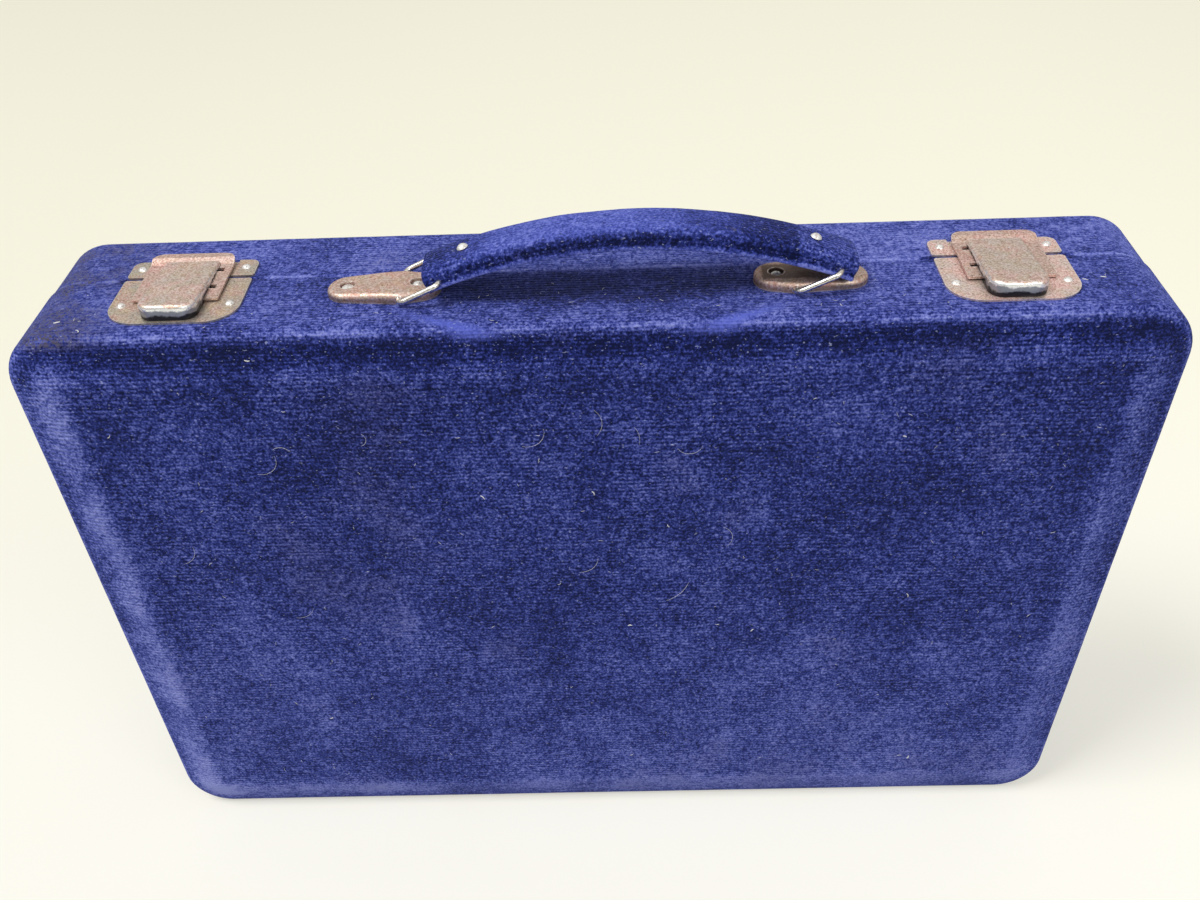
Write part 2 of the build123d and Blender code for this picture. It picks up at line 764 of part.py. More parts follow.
def handle_rivets():
    top = handle_arch_radius + handle_thickness
    length = top - (pivot_radius - core_thickness / 2)
    pieces = []
    for side, angle in handle_rivet_places():
        piece = rivet(0, 0, top, length, handle_rivet_radius, handle_rivet_height, handle_rivet_shank)
        pieces.append(Pos(0, 0, arch_centre_z) * Rot(0, math.degrees(angle), 0) * piece)
    return Compound(pieces)


def handle_core():
    core = core_form()
    half = core_width / 2 + 1
    for x, z in pivot_places():
        core = core - rod_y(ring_wire_radius + running_clearance, (-half, half), x, z)
    for shank in handle_rivet_shanks(handle_rivet_shank):
        core = core - shank
    return core


def handle_cover():
    """Padded cover round the core, with rounded long edges and square-cut ends."""
    top = handle_arch_radius + handle_thickness
    body = arch(handle_arch_radius, top, handle_half_length, handle_width)
    long_edges = [edge for edge in body.edges() if edge.length > handle_half_length]
    long_edges = sorted(long_edges, key=lambda edge: edge.bounding_box().max.Z)
    body = fillet(long_edges[2:4], handle_top_round)
    long_edges = [edge for edge in body.edges() if edge.length > handle_half_length]
    long_edges = sorted(long_edges, key=lambda edge: edge.bounding_box().max.Z)
    body = fillet(long_edges[0:2], handle_bottom_round)
    body = body - core_form()
    half = handle_width / 2 + 1
    for x, z in pivot_places():
        body = body - rod_y(ring_wire_radius + handle_bore_clearance, (-half, half), x, z)
    for shank in handle_rivet_shanks(handle_rivet_shank):
        body = body - shank
    return body


def place_handle(shape):
    return Pos(handle_set_offset + handle_shift, handle_y, 0) * shape


# Assembly

def fitting_holes():
    """Rivet places on the top of the base and of the lid: x and distance from the parting plane."""
    base_holes = []
    lid_holes = []
    for side in (-1, 1):
        latch_x = latch_offset + side * latch_spacing / 2
        base_holes += [(latch_x + x, -y) for x, y in base_plate_rivets()]
        lid_holes += [(latch_x + x, y) for x, y in lid_plate_rivets()]
        bracket_x = handle_set_offset + side * (ring_spacing / 2 + bracket_tunnel_inset)
        base_holes += [(bracket_x + x, parting_y - handle_y) for x, y in bracket_rivet_places()]
    return base_holes, lid_holes


def write_case():
    base_holes, lid_holes = fitting_holes()
    lid_width = case_width - 2 * lid_side_step
    halves = (("base_", case_width, base_depth, base_holes, place_base),
              ("lid_", lid_width, lid_depth, lid_holes, place_lid))
    for prefix, width, depth, holes, place in halves:
        layers = half_layers(width, depth, holes)
        for hole in nail_holes():
            layers["frame"] = layers["frame"] - hole
        for name, layer in layers.items():
            put(prefix + name, place(layer))
    put("rack_divider", rack_divider())
    put("tile_dividers", tile_dividers())


def write_hinges():
    nails = {"base": [], "lid": []}
    for side, word in ((-1, "left"), (1, "right")):
        spot = Pos(side * hinge_offset, 0, 0)
        put("base_hinge_leaf_" + word, place_base(spot * hinge_leaf(1)))
        put("lid_hinge_leaf_" + word, place_lid(spot * hinge_leaf(0)))
        put("hinge_pin_" + word, place_base(spot * hinge_pin()))
        nails["base"] += [place_base(spot * nail) for nail in hinge_nails()]
        nails["lid"] += [place_lid(spot * nail) for nail in hinge_nails()]
    put("base_hinge_nails", Compound(nails["base"]))
    put("lid_hinge_nails", Compound(nails["lid"]))


def write_latches():
    pieces = {
        "latch_base_plate": base_plate(),
        "latch_base_rivets": plate_rivets(base_plate_rivets()),
        "latch_keeper": keeper(),
        "latch_lid_plate": lid_plate(),
        "latch_lid_rivets": plate_rivets(lid_plate_rivets()),
        "hasp_pin": hasp_pin(),
        "hasp": hasp(),
        "cap_spring": spring(),
        "thumb_cap": thumb_cap(),
        "cap_catch": catch(),
    }
    for side, word in ((-1, "left"), (1, "right")):
        for name, shape in pieces.items():
            put(name + "_" + word, place_latch(shape, side))


def write_handle():
    for side, word in ((-1, "left"), (1, "right")):
        put("handle_bracket_" + word, place_bracket(bracket(), side))
        put("bracket_rivets_" + word, place_bracket(bracket_rivets(), side))
        put("handle_ring_" + word, place_ring(ring(), side))
    put("handle_core", place_handle(handle_core()))
    put("handle_cover", place_handle(handle_cover()))
    put("handle_rivets", place_handle(handle_rivets()))


os.makedirs("parts", exist_ok=True)
write_case()
write_hinges()
write_latches()
write_handle()
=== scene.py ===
import math
import random

import bmesh
import bpy
from mathutils import Matrix, Vector, noise


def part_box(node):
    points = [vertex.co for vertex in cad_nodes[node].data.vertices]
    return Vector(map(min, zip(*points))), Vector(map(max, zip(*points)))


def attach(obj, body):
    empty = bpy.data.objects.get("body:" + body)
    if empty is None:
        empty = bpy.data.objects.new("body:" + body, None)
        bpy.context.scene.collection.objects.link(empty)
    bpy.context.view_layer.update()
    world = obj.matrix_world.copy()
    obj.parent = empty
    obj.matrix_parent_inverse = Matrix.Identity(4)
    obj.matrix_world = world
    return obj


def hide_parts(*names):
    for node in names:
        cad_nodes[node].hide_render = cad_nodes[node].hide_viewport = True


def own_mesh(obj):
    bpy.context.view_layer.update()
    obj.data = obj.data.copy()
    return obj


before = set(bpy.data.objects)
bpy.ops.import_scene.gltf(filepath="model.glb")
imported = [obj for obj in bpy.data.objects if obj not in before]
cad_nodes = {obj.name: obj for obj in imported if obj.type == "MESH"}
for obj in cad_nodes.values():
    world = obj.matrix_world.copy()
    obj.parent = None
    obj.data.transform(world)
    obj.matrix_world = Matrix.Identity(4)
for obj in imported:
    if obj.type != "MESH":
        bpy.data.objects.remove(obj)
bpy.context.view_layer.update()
scene = bpy.context.scene
mm = 0.001

# Sizes of the case, read from the frame
base_low, base_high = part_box("base_covering")
lid_low, lid_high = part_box("lid_covering")
case_top = base_high.z
base_half_width = (base_high.x - base_low.x) / 2

# Form of a covered half, as it is built underneath the cloth
corner_radius = 23 * mm
bevel_width = 17.5 * mm
bevel_depth = 5 * mm
edge_radius = 5 * mm
crest_radius = 30 * mm
wall_inset = 7 * mm
hinge_axis_height = 2.8 * mm
groove_slope = math.tan(math.radians(50))
hinge_notch_half = 27.9 * mm
hinge_notch_height = 8 * mm
hinge_notch_depth = 3.4 * mm
hinge_middle = (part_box("hinge_pin_right")[0].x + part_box("hinge_pin_right")[1].x) / 2
latch_plates = [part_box("latch_base_plate_" + side) for side in ("left", "right")]
latch_middles = [(low.x + high.x) / 2 for low, high in latch_plates]

# Cloth
cloth_thickness = 0.6 * mm
fold_radius = 0.9 * mm
cloth_cell = 2.6 * mm
side_cell = 2.4 * mm
cloth_sink = 0.22 * mm
lining_thickness = 0.7 * mm
lining_cell = 5 * mm
lining_cove = 3 * mm
lining_gap = 0.25 * mm
lining_flat = 0.5 * mm
lining_puff = 0.25 * mm
lining_glued_share = 0.7

# Handle, as it is built round its core
handle_reach = 84 * mm
handle_rise = 15.9 * mm
handle_thickness = 8.5 * mm
handle_half_width = 12 * mm
handle_rivet_reach = 68 * mm
piping_radius = 1.05 * mm
piping_steps = 8
handle_steps = 120
handle_end_lip = 0.7 * mm
handle_end_puff = 0.5 * mm
broad_lump = 0.22 * mm
small_lump = 0.08 * mm
rivet_pull = 0.75 * mm
rivet_pull_reach = 4.2 * mm


# Mesh helpers

widest_arc_step = math.radians(12)


def rounded_path(corners, radii, cell):
    """Points along a bent line whose inner corners are arcs, with its runs cut to the cell size."""
    points = [Vector(corners[0])]
    for index in range(1, len(corners) - 1):
        before, corner, after = (Vector(corners[index + step]) for step in (-1, 0, 1))
        arrive = (corner - before).normalized()
        leave = (after - corner).normalized()
        turn = arrive.angle(leave)
        radius = radii[index - 1]
        tangent = radius * math.tan(turn / 2)
        start = corner - arrive * tangent
        add_run(points, start, cell)
        inward = (leave - arrive * leave.dot(arrive)).normalized()
        centre = start + inward * radius
        steps = max(3, math.ceil(turn * radius / cell), math.ceil(turn / widest_arc_step))
        for step in range(1, steps + 1):
            angle = turn * step / steps
            points.append(centre + (arrive * math.sin(angle) - inward * math.cos(angle)) * radius)
    add_run(points, Vector(corners[-1]), cell)
    return points


def add_run(points, end, cell):
    """Straight run from the last point to the end, in steps no longer than a cell."""
    start = points[-1].copy()
    if (end - start).length < 0.01 * mm:
        return
    steps = math.ceil((end - start).length / cell)
    for step in range(1, steps + 1):
        points.append(start.lerp(end, step / steps))


def contour_normal(x, z, straight_x, straight_z):
    """Direction out of a rounded rectangle whose corner centres lie at the ends of its straight sides."""
    past_x = abs(x) - straight_x
    past_z = abs(z) - straight_z
    if past_x > 0 and past_z > 0:
        out = Vector((math.copysign(past_x, x), math.copysign(past_z, z)))
        return out.normalized()
    if past_x > past_z:
        return Vector((math.copysign(1, x), 0))
    return Vector((0, math.copysign(1, z)))


def round_corner(x, z, half_width, half_height, radius):
    """Moves a point of a square-cornered sheet so that the sheet gets round corners."""
    depth = min(half_width - abs(x), half_height - abs(z))
    turn = radius - depth
    if turn <= 0:
        return x, z
    along_x = half_width - depth - abs(x)
    along_z = half_height - depth - abs(z)
    nearest = along_x + along_z
    if nearest >= turn:
        return x, z
    angle = (1 - nearest / turn) * math.pi / 4
    short = turn * math.sin(angle)
    long = turn * math.cos(angle)
    past_x, past_z = (short, long) if along_x > along_z else (long, short)
    new_x = half_width - radius + past_x
    new_z = half_height - radius + past_z
    return math.copysign(new_x, x), math.copysign(new_z, z)


def tray(half_width, half_height, radius, path, face_depth, cell):
    """Sheet with round corners: a grid for its face, and a skirt that follows the path back from it.

    The path holds (inset, depth) pairs and starts at the edge of the face. Two layers record places on
    the cloth: reach, which is the distance in from the edge of the face and below zero the distance
    back from it along the path, and nap, which is the distance across the ribs.
    """
    bm = bmesh.new()
    reach = bm.verts.layers.float.new("reach")
    nap = bm.verts.layers.float.new("nap")
    inset = path[0][0]
    face_half = (half_width - inset, half_height - inset)
    counts = [max(2, round(2 * size / cell)) for size in face_half]
    bmesh.ops.create_grid(bm, x_segments=counts[0], y_segments=counts[1], size=1)
    rim = [edge for edge in bm.edges if edge.is_boundary]
    for vert in bm.verts:
        x, z = vert.co.x * face_half[0], vert.co.y * face_half[1]
        depth = min(face_half[0] - abs(x), face_half[1] - abs(z))
        x, z = round_corner(x, z, face_half[0], face_half[1], radius - inset)
        vert.co = (x, face_depth(inset + depth), z)
        vert[reach] = depth
    straight = (half_width - radius, half_height - radius)
    travelled = 0.0
    for before, after in zip(path, path[1:]):
        travelled += (Vector(after) - Vector(before)).length
        made = bmesh.ops.extrude_edge_only(bm, edges=rim)["geom"]
        rim = [item for item in made if isinstance(item, bmesh.types.BMEdge) and item.is_boundary]
        for vert in {vert for edge in rim for vert in edge.verts}:
            normal = contour_normal(vert.co.x, vert.co.z, *straight)
            step = before[0] - after[0]
            vert.co.x += normal.x * step
            vert.co.z += normal.y * step
            vert.co.y = after[1]
            vert[reach] = -travelled
    for vert in bm.verts:
        normal = contour_normal(vert.co.x, vert.co.z, *straight)
        behind = max(0.0, face_depth(half_height) - vert.co.y)
        vert[nap] = vert.co.z + behind * normal.y * abs(normal.y)
    return bm


def new_object(name, bm, material, smooth=True):
    """Object for a finished mesh."""
    mesh = bpy.data.meshes.new(name)
    bm.to_mesh(mesh)
    bm.free()
    for polygon in mesh.polygons:
        polygon.use_smooth = smooth
    mesh.materials.append(material)
    item = bpy.data.objects.new(name, mesh)
    scene.collection.objects.link(item)
    return item


def new_piece(name, bm, body, material, replaced=(), smooth=True):
    """Piece of the case: it rides on its body and stands for the nodes it replaces."""
    piece = new_object(name, bm, material, smooth)
    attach(piece, body)
    if replaced:
        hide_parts(*replaced)
    return piece


# Shader helpers

class Value:
    """Number, colour or place that a shader works out. Sums on it become maths nodes of its tree."""

    def __init__(self, socket):
        self.socket = socket
        self.tree = socket.id_data

    def __add__(self, other):
        return calc(self.tree, "ADD", self, other)

    def __sub__(self, other):
        return calc(self.tree, "SUBTRACT", self, other)

    def __rsub__(self, other):
        return calc(self.tree, "SUBTRACT", other, self)

    def __mul__(self, other):
        return calc(self.tree, "MULTIPLY", self, other)

    def __abs__(self):
        return calc(self.tree, "ABSOLUTE", self)

    __radd__ = __add__
    __rmul__ = __mul__


def feed(node, values):
    """Links what a shader works out to the inputs of a node, and sets the other values on them."""
    for key, value in values.items():
        if isinstance(value, Value):
            value.tree.links.new(value.socket, node.inputs[key])
        else:
            node.inputs[key].default_value = value


def new_node(tree, kind, values=None, **settings):
    """New shader node with its settings made and its inputs fed."""
    node = tree.nodes.new(kind)
    for key, value in settings.items():
        setattr(node, key, value)
    feed(node, values or {})
    return node


def add(tree, kind, values=None, output=0, **settings):
    """New shader node, as the value of one of its outputs."""
    return Value(new_node(tree, kind, values, **settings).outputs[output])


def calc(tree, operation, *values):
    """Result of one sum on values or numbers."""
    return add(tree, "ShaderNodeMath", dict(enumerate(values)), operation=operation)


def vector_calc(operation, first, second, output="Vector"):
    """Result of one sum on two places, the first of which is worked out by the shader."""
    return add(first.tree, "ShaderNodeVectorMath", {0: first, 1: second}, output, operation=operation)


def split(place):
    """The X, Y and Z of a place."""
    return [Value(socket) for socket in new_node(place.tree, "ShaderNodeSeparateXYZ", {0: place}).outputs]


def wave(value, pitch):
    """Ripple between -1 and 1 that repeats every pitch."""
    return calc(value.tree, "SINE", value * (2 * math.pi / pitch))


def spread(value, low, high, new_low=0.0, new_high=1.0, easing="SMOOTHSTEP"):
    """Value brought from one range to another, eased at its ends or not, and held beyond them."""
    limits = {"From Min": low, "From Max": high, "To Min": new_low, "To Max": new_high}
    return add(value.tree, "ShaderNodeMapRange", {"Value": value, **limits}, interpolation_type=easing)


def near(value, target, half_width):
    """Mask that is 1 where a value equals its target and 0 beyond the half width."""
    return spread(abs(value - target), 0.0, half_width, 1.0, 0.0)


def cloud(place, scale, detail=2.0, roughness=0.5, stretch=None):
    """Noise between about 0.3 and 0.7, as a mask."""
    if stretch:
        place = vector_calc("MULTIPLY", place, stretch)
    pattern = {"Vector": place, "Scale": scale, "Detail": detail, "Roughness": roughness}
    return add(place.tree, "ShaderNodeTexNoise", pattern, "Fac")


def mix_colour(share, first, second):
    values = {"Factor": share, "A": first, "B": second}
    return add(share.tree, "ShaderNodeMix", values, "Result", data_type="RGBA")


def ramp(value, stops):
    """Colour from a list of (position, colour) stops."""
    node = new_node(value.tree, "ShaderNodeValToRGB", {"Fac": value})
    elements = node.color_ramp.elements
    while len(elements) < len(stops):
        elements.new(0.5)
    for element, (position, colour) in zip(elements, stops):
        element.position = position
        element.color = (*colour, 1)
    return Value(node.outputs["Color"])


def attribute(tree, name):
    return add(tree, "ShaderNodeAttribute", output="Fac", attribute_name=name)


def rays(tree, *kinds):
    """Mask that is 1 for the rays of any of the kinds."""
    paths = new_node(tree, "ShaderNodeLightPath").outputs
    found = [Value(paths["Is " + kind + " Ray"]) for kind in kinds]
    mask = found[0]
    for other in found[1:]:
        mask = calc(tree, "MAXIMUM", mask, other)
    return mask


def named_outputs(node):
    return {socket.name: Value(socket) for socket in node.outputs}


def new_group(name, inputs, outputs):
    """Empty node group; returns the values of its inputs and the node that takes its outputs.

    Inputs are given as a kind and a default by name, and outputs as a kind by name.
    """
    tree = bpy.data.node_groups.new(name, "ShaderNodeTree")
    for label, (kind, value) in inputs.items():
        socket = tree.interface.new_socket(label, in_out="INPUT", socket_type=kind)
        if value is not None:
            socket.default_value = value
    for label, kind in outputs.items():
        tree.interface.new_socket(label, in_out="OUTPUT", socket_type=kind)
    return named_outputs(tree.nodes.new("NodeGroupInput")), tree.nodes.new("NodeGroupOutput")


def use_group(tree, group, values):
    return named_outputs(new_node(tree, "ShaderNodeGroup", values, node_tree=group))


def new_material(name):
    """Material with an empty Principled shader; returns it with its shader and its object place."""
    material = bpy.data.materials.new(name)
    material.use_nodes = True
    tree = material.node_tree
    tree.nodes.clear()
    shader = new_node(tree, "ShaderNodeBsdfPrincipled")
    new_node(tree, "ShaderNodeOutputMaterial", {"Surface": Value(shader.outputs[0])})
    return material, shader, add(tree, "ShaderNodeTexCoord", output="Object")


def roughen(shader, height, strength, distance):
    """Feeds a height through a bump to the shader."""
    bump = {"Height": height, "Strength": strength, "Distance": distance}
    feed(shader, {"Normal": add(height.tree, "ShaderNodeBump", bump)})


FLOAT = "NodeSocketFloat"
VECTOR = "NodeSocketVector"
COLOUR = "NodeSocketColor"

# Shared effects

rib_pitch = 1.95 * mm
stitch_pitch = 2.3 * mm
rib_sway = 1.6 * mm
pile_tones = [
    (0.05, (0.0038, 0.007, 0.045)),
    (0.20, (0.0122, 0.020, 0.128)),
    (0.31, (0.0245, 0.038, 0.222)),
    (0.45, (0.074, 0.099, 0.395)),
    (0.60, (0.165, 0.195, 0.585)),
    (0.90, (0.330, 0.370, 0.800)),
]
crushed_pile = (0.115, 0.152, 0.640, 1)
dust_colour = (0.085, 0.076, 0.108, 1)
fleck_colour = (0.38, 0.42, 0.70, 1)
plate_edge = 0.55 * mm
cap_edge = 0.8 * mm
bracket_edge = 1.1 * mm


def velvet_cloth_group():
    """Ribbed velvet: tone from ribs, stitches, grain and mottling, then rubs, dust and flecks."""
    source, result = new_group(
        "velvet_cloth",
        {"Place": (VECTOR, None), "Nap": (FLOAT, 0.0), "Pale": (FLOAT, 0.0), "Dusty": (FLOAT, 0.0),
         "Rubbed": (FLOAT, 0.0)},
        {"Color": COLOUR, "Height": FLOAT, "Roughness": FLOAT})
    place = source["Place"]
    x, y = split(place)[:2]
    sway = (cloud(place, 45, 1) - 0.5) * rib_sway
    rib = wave(source["Nap"] + sway, rib_pitch)
    stitch = wave(x + y + sway * 3.0, stitch_pitch) * 0.35 + 0.65
    rib_patches = spread(cloud(place, 22, 2), 0.36, 0.62, 0.30, 1.0)
    rib_tone = rib * stitch * (rib_patches * 0.15)
    grain = cloud(place, 900, 2, 0.6) - 0.5
    tuft = cloud(place, 380, 2, 0.6) - 0.5
    thread = cloud(place, 330, 2, 0.55, (0.34, 1, 2.2)) - 0.5
    mottle = cloud(place, 30, 3, 0.62) - 0.5
    drift = cloud(place, 9, 2, 0.5) - 0.5
    fine = grain * 1.9 + tuft * 0.9 + thread * 0.5
    broad = mottle * 0.80 + drift * 0.45
    tone = fine + broad + rib_tone + source["Pale"] + 0.5
    colour = ramp(tone * 0.6, pile_tones)
    rubbed = source["Rubbed"] * spread(grain, -0.22, 0.12, 0.55, 1.0)
    colour = mix_colour(rubbed, colour, crushed_pile)
    dust = spread(cloud(place, 15, 3, 0.6), 0.54, 0.74, 0.0, 0.35) + source["Dusty"]
    colour = mix_colour(dust * spread(grain, -0.16, 0.14), colour, dust_colour)
    fleck = spread(cloud(place, 1150, 1, 0.5, (0.6, 1, 1)), 0.69, 0.75, 0.0, 0.55)
    feed(result, {
        "Color": mix_colour(fleck, colour, fleck_colour),
        "Height": rib * 0.35 + grain * 1.6 + thread * 0.8,
        "Roughness": spread(mottle, -0.2, 0.2, 0.72, 0.95),
    })
    return result.id_data


def edge_wear_group():
    """Mask that is 1 on the sharp edges of a piece, broken up by noise."""
    source, result = new_group(
        "edge_wear", {"Place": (VECTOR, None), "Radius": (FLOAT, plate_edge)}, {"Mask": FLOAT})
    tree = result.id_data
    rounded = add(tree, "ShaderNodeBevel", {"Radius": source["Radius"]}, samples=6)
    straight = add(tree, "ShaderNodeNewGeometry", output="Normal")
    agree = vector_calc("DOT_PRODUCT", rounded, straight, "Value")
    edge = spread(1.0 - agree, 0.004, 0.10)
    breaks = spread(cloud(source["Place"], 420, 3, 0.6), 0.34, 0.60)
    feed(result, {"Mask": edge * (breaks * 0.7 + 0.3)})
    return tree


def metal_stain_group():
    """Masks for old metal: broad stains, yellow blotches, fine speckle and small dark pits."""
    source, result = new_group(
        "metal_stain",
        {"Place": (VECTOR, None), "Scale": (FLOAT, 90.0)},
        {"Stain": FLOAT, "Blotch": FLOAT, "Speckle": FLOAT, "Pits": FLOAT})
    place = source["Place"]
    feed(result, {
        "Stain": spread(cloud(place, source["Scale"], 4, 0.62), 0.40, 0.62),
        "Blotch": spread(cloud(place, 190, 4, 0.65), 0.44, 0.60),
        "Speckle": spread(cloud(place, 1050, 3, 0.7), 0.36, 0.64),
        "Pits": spread(cloud(place, 900, 2, 0.5), 0.64, 0.72),
    })
    return result.id_data


velvet_cloth = velvet_cloth_group()
edge_wear = edge_wear_group()
metal_stain = metal_stain_group()


# Materials of cloth

sheen_tint = (0.30, 0.36, 1.0, 1)
velvet_bump = 0.4 * mm

# Bands of wear, painted light and painted shade on a covered half and on the handle, each a reach and a half
# width
ridge_band = (-1.8 * mm, 2.2 * mm)
crest_wear_and_sheen_band = (11 * mm, 13 * mm)
painted_crest_highlight_band = (16 * mm, 5 * mm)
painted_bevel_shade_band = (5 * mm, 8.5 * mm)
fold_half_width = 1.3 * mm
seam_shadow_half_width = 3 * mm
piping_band = (0.2 * mm, 1.4 * mm)
handle_side_band = (4.0 * mm, 4.2 * mm)
handle_drift = 60 * mm

# Places of wear, painted light and painted shade on the case, each faded from its first limit to its second
face_limits = (-2 * mm, 2 * mm)
top_limits = (case_top - 7 * mm, case_top - 3 * mm)
upper_limits = (case_top - 30 * mm, case_top - 12 * mm)
lower_limits = (34 * mm, 12 * mm)
side_limits = (base_half_width - 36 * mm, base_half_width - 20 * mm)
left_limits = (60 * mm, -120 * mm)
dusty_end_limits = (-180 * mm, -222 * mm)
beside_latch_limits = (33 * mm, 29 * mm)
wear_waver = 5 * mm

# Marks on the top by the handle: an arc of rubbed pile, and under its middle a painted shadow over pile
# crushed flat
rub_centre = (1 * mm, 121 * mm, 0)
rub_band = (170 * mm, 4.2 * mm)
rub_limits = (84 * mm, 62 * mm)
shadow_and_crush_x, shadow_and_crush_y = 3 * mm, -13 * mm
shadow_and_crush_half_length, shadow_and_crush_half_depth = 78, 17
shadow_and_crush_limits = (1.05 * mm, 0.55 * mm)


def velvet(name, marks, sheen=0.34):
    """Velvet with its own marks of wear, painted light and painted shade: a function that gives the pale,
    dusty and rubbed masks.
    """
    material, shader, place = new_material(name)
    pale, dusty, rubbed = marks(place)
    nap = attribute(place.tree, "nap")
    cloth = use_group(place.tree, velvet_cloth, {
        "Place": place, "Nap": nap, "Pale": pale, "Dusty": dusty, "Rubbed": rubbed})
    feed(shader, {
        "Base Color": cloth["Color"],
        "Roughness": cloth["Roughness"],
        "Specular IOR Level": 0.10,
        "Sheen Weight": sheen,
        "Sheen Roughness": 0.42,
        "Sheen Tint": sheen_tint,
    })
    roughen(shader, cloth["Height"], 0.6, velvet_bump)
    return material


def case_marks(depth, with_rub):
    """Wear and painted light of a covered half: pale ridges, worn pile with painted sheen by the crests,
    painted shade on the bevel and the front's upper part, a painted shadow beside the latches, painted light
    on the top, the parting fold and the handle's marks with a painted shadow under it.

    Reach is the distance in from the edge of the face, and below zero the distance back from it.
    """
    fold_place = -fold_reach(depth)

    def marks(place):
        x, y, z = split(place)
        width = abs(x)
        true_reach = attribute(place.tree, "reach")
        waver = (cloud(place, 60, 3, 0.6) - 0.5) * wear_waver
        narrow_waver = waver * 0.35
        reach = true_reach + waver
        strength = spread(cloud(place, 38, 3, 0.6), 0.33, 0.62, 0.35, 1.0)
        fray = spread(cloud(place, 420, 2, 0.6), 0.36, 0.62, 0.35, 1.0)
        on_top = spread(z, *top_limits)
        on_face = spread(true_reach, *face_limits)
        ridge = near(true_reach + narrow_waver, *ridge_band) * strength * fray * 0.48
        fold = near(true_reach, fold_place, fold_half_width) * fray * 0.48
        # painted shadow: the parting fold on the top is darkened beside the latch plates
        by_latches = sum(spread(abs(x - middle), *beside_latch_limits) for middle in latch_middles)
        shade = by_latches * near(true_reach, fold_place, seam_shadow_half_width) * on_top * -0.65
        sideways = spread(width, *side_limits)
        low = spread(z, *lower_limits)
        left = spread(x, *left_limits, 0.45, 1.0)
        # worn pile with painted sheen on the bevel by the crest, at the sides and low down and most on the
        # left, then a faint painted highlight on the crest all round
        crest_wear_and_sheen = near(reach, *crest_wear_and_sheen_band) * strength * left * (sideways + low) * 0.52
        painted_crest_highlight = near(reach, *painted_crest_highlight_band) * 0.10
        upper = spread(z, *upper_limits)
        # painted shade: a dark band on the bevel below the top ridge, in the upper part of the case
        painted_bevel_shade = near(reach, *painted_bevel_shade_band) * upper * -0.25
        # painted shade: the front face is darker near the top and lighter lower down
        painted_face_gradient = on_face * spread(z, case_top, 40 * mm, -0.07, 0.15)
        # painted light: the top face is made lighter than the front
        lit_top = on_top * (0.14 if with_rub else 0.25)
        pale = ridge + fold + shade + crest_wear_and_sheen + painted_crest_highlight + painted_bevel_shade + painted_face_gradient + lit_top
        far_left = spread(x, *dusty_end_limits, 0.0, 0.95)
        stain = spread(cloud(place, 40, 3, 0.6), 0.36, 0.54, 0.25, 1.0)
        dusty = on_top * (far_left * stain + 0.10)
        if not with_rub:
            return pale, dusty, 0.0
        flat = add(place.tree, "ShaderNodeCombineXYZ", {"X": x, "Y": y})
        away = vector_calc("DISTANCE", flat, rub_centre, "Value") + narrow_waver
        span = spread(width, *rub_limits)
        rubbed = near(away, *rub_band) * span * on_top * 0.9
        # painted shadow over crushed pile: an oval under the handle's middle is darkened
        squeezed = vector_calc("MULTIPLY", flat, (1 / shadow_and_crush_half_length, 1 / shadow_and_crush_half_depth, 1))
        shadow_and_crush_centre = (shadow_and_crush_x / shadow_and_crush_half_length, shadow_and_crush_y / shadow_and_crush_half_depth, 0)
        away = vector_calc("DISTANCE", squeezed, shadow_and_crush_centre, "Value")
        shadow_and_crush = spread(away, *shadow_and_crush_limits) * on_top * -0.30
        return pale + shadow_and_crush, dusty, rubbed
    return marks


def handle_marks(place):
    """The handle's piping and padded top are pale where hands and use polished them, with painted sheen on
    the top's middle; its side band and underside are darker, and painted shade darkens its right end.
    """
    reach = attribute(place.tree, "reach")
    piping = near(reach, *piping_band)
    above = spread(reach, 5.5 * mm, 10 * mm)
    side = near(reach, *handle_side_band)
    below = spread(reach, -0.6 * mm, -2.0 * mm)
    along = split(place)[0]
    length = abs(along)
    drift = (cloud(place, 55, 3, 0.6) - 0.5) * handle_drift
    shaded_end = spread(along + drift, 15 * mm, 80 * mm) * spread(reach, 0.8 * mm, 2.0 * mm) * -0.16
    # polish with painted sheen: the top is paler in its middle and darker towards its ends
    middle = spread(length + drift, 18 * mm, 80 * mm, 1.0, 0.0)
    ends = spread(length, handle_reach - 4 * mm, handle_reach - 1 * mm)
    shown = spread(middle, 0.0, 1.0, -0.14, 0.30)
    pale = piping * 0.36 + above * shown + side * -0.22 + below * -0.30 + ends * 0.30 + shaded_end
    rubbed = (piping + above * middle) * 0.36
    grime = spread(cloud(place, 130, 2, 0.5), 0.69, 0.74, 0.0, 0.8)
    return pale, grime, rubbed


def lining_marks(place):
    """The lining is hardly worn."""
    return spread(cloud(place, 14, 2, 0.5), 0.35, 0.65, -0.02, 0.10), 0.0, 0.0


# Materials of metal

tarnish_colour = (0.60, 0.48, 0.27, 1)
rust_colour = (0.30, 0.185, 0.14, 1)
pit_colour = (0.09, 0.055, 0.04, 1)
steel_bump = 0.10 * mm
cap_roof_slope = 3.4 / 44
cap_shoulder_colour = (0.90, 0.90, 0.89, 1)
cap_wall_and_reflection_colour = (0.17, 0.185, 0.23, 1)
cap_foot_colour = (0.02, 0.02, 0.025, 1)
eaten_brown = (0.15, 0.09, 0.065, 1)


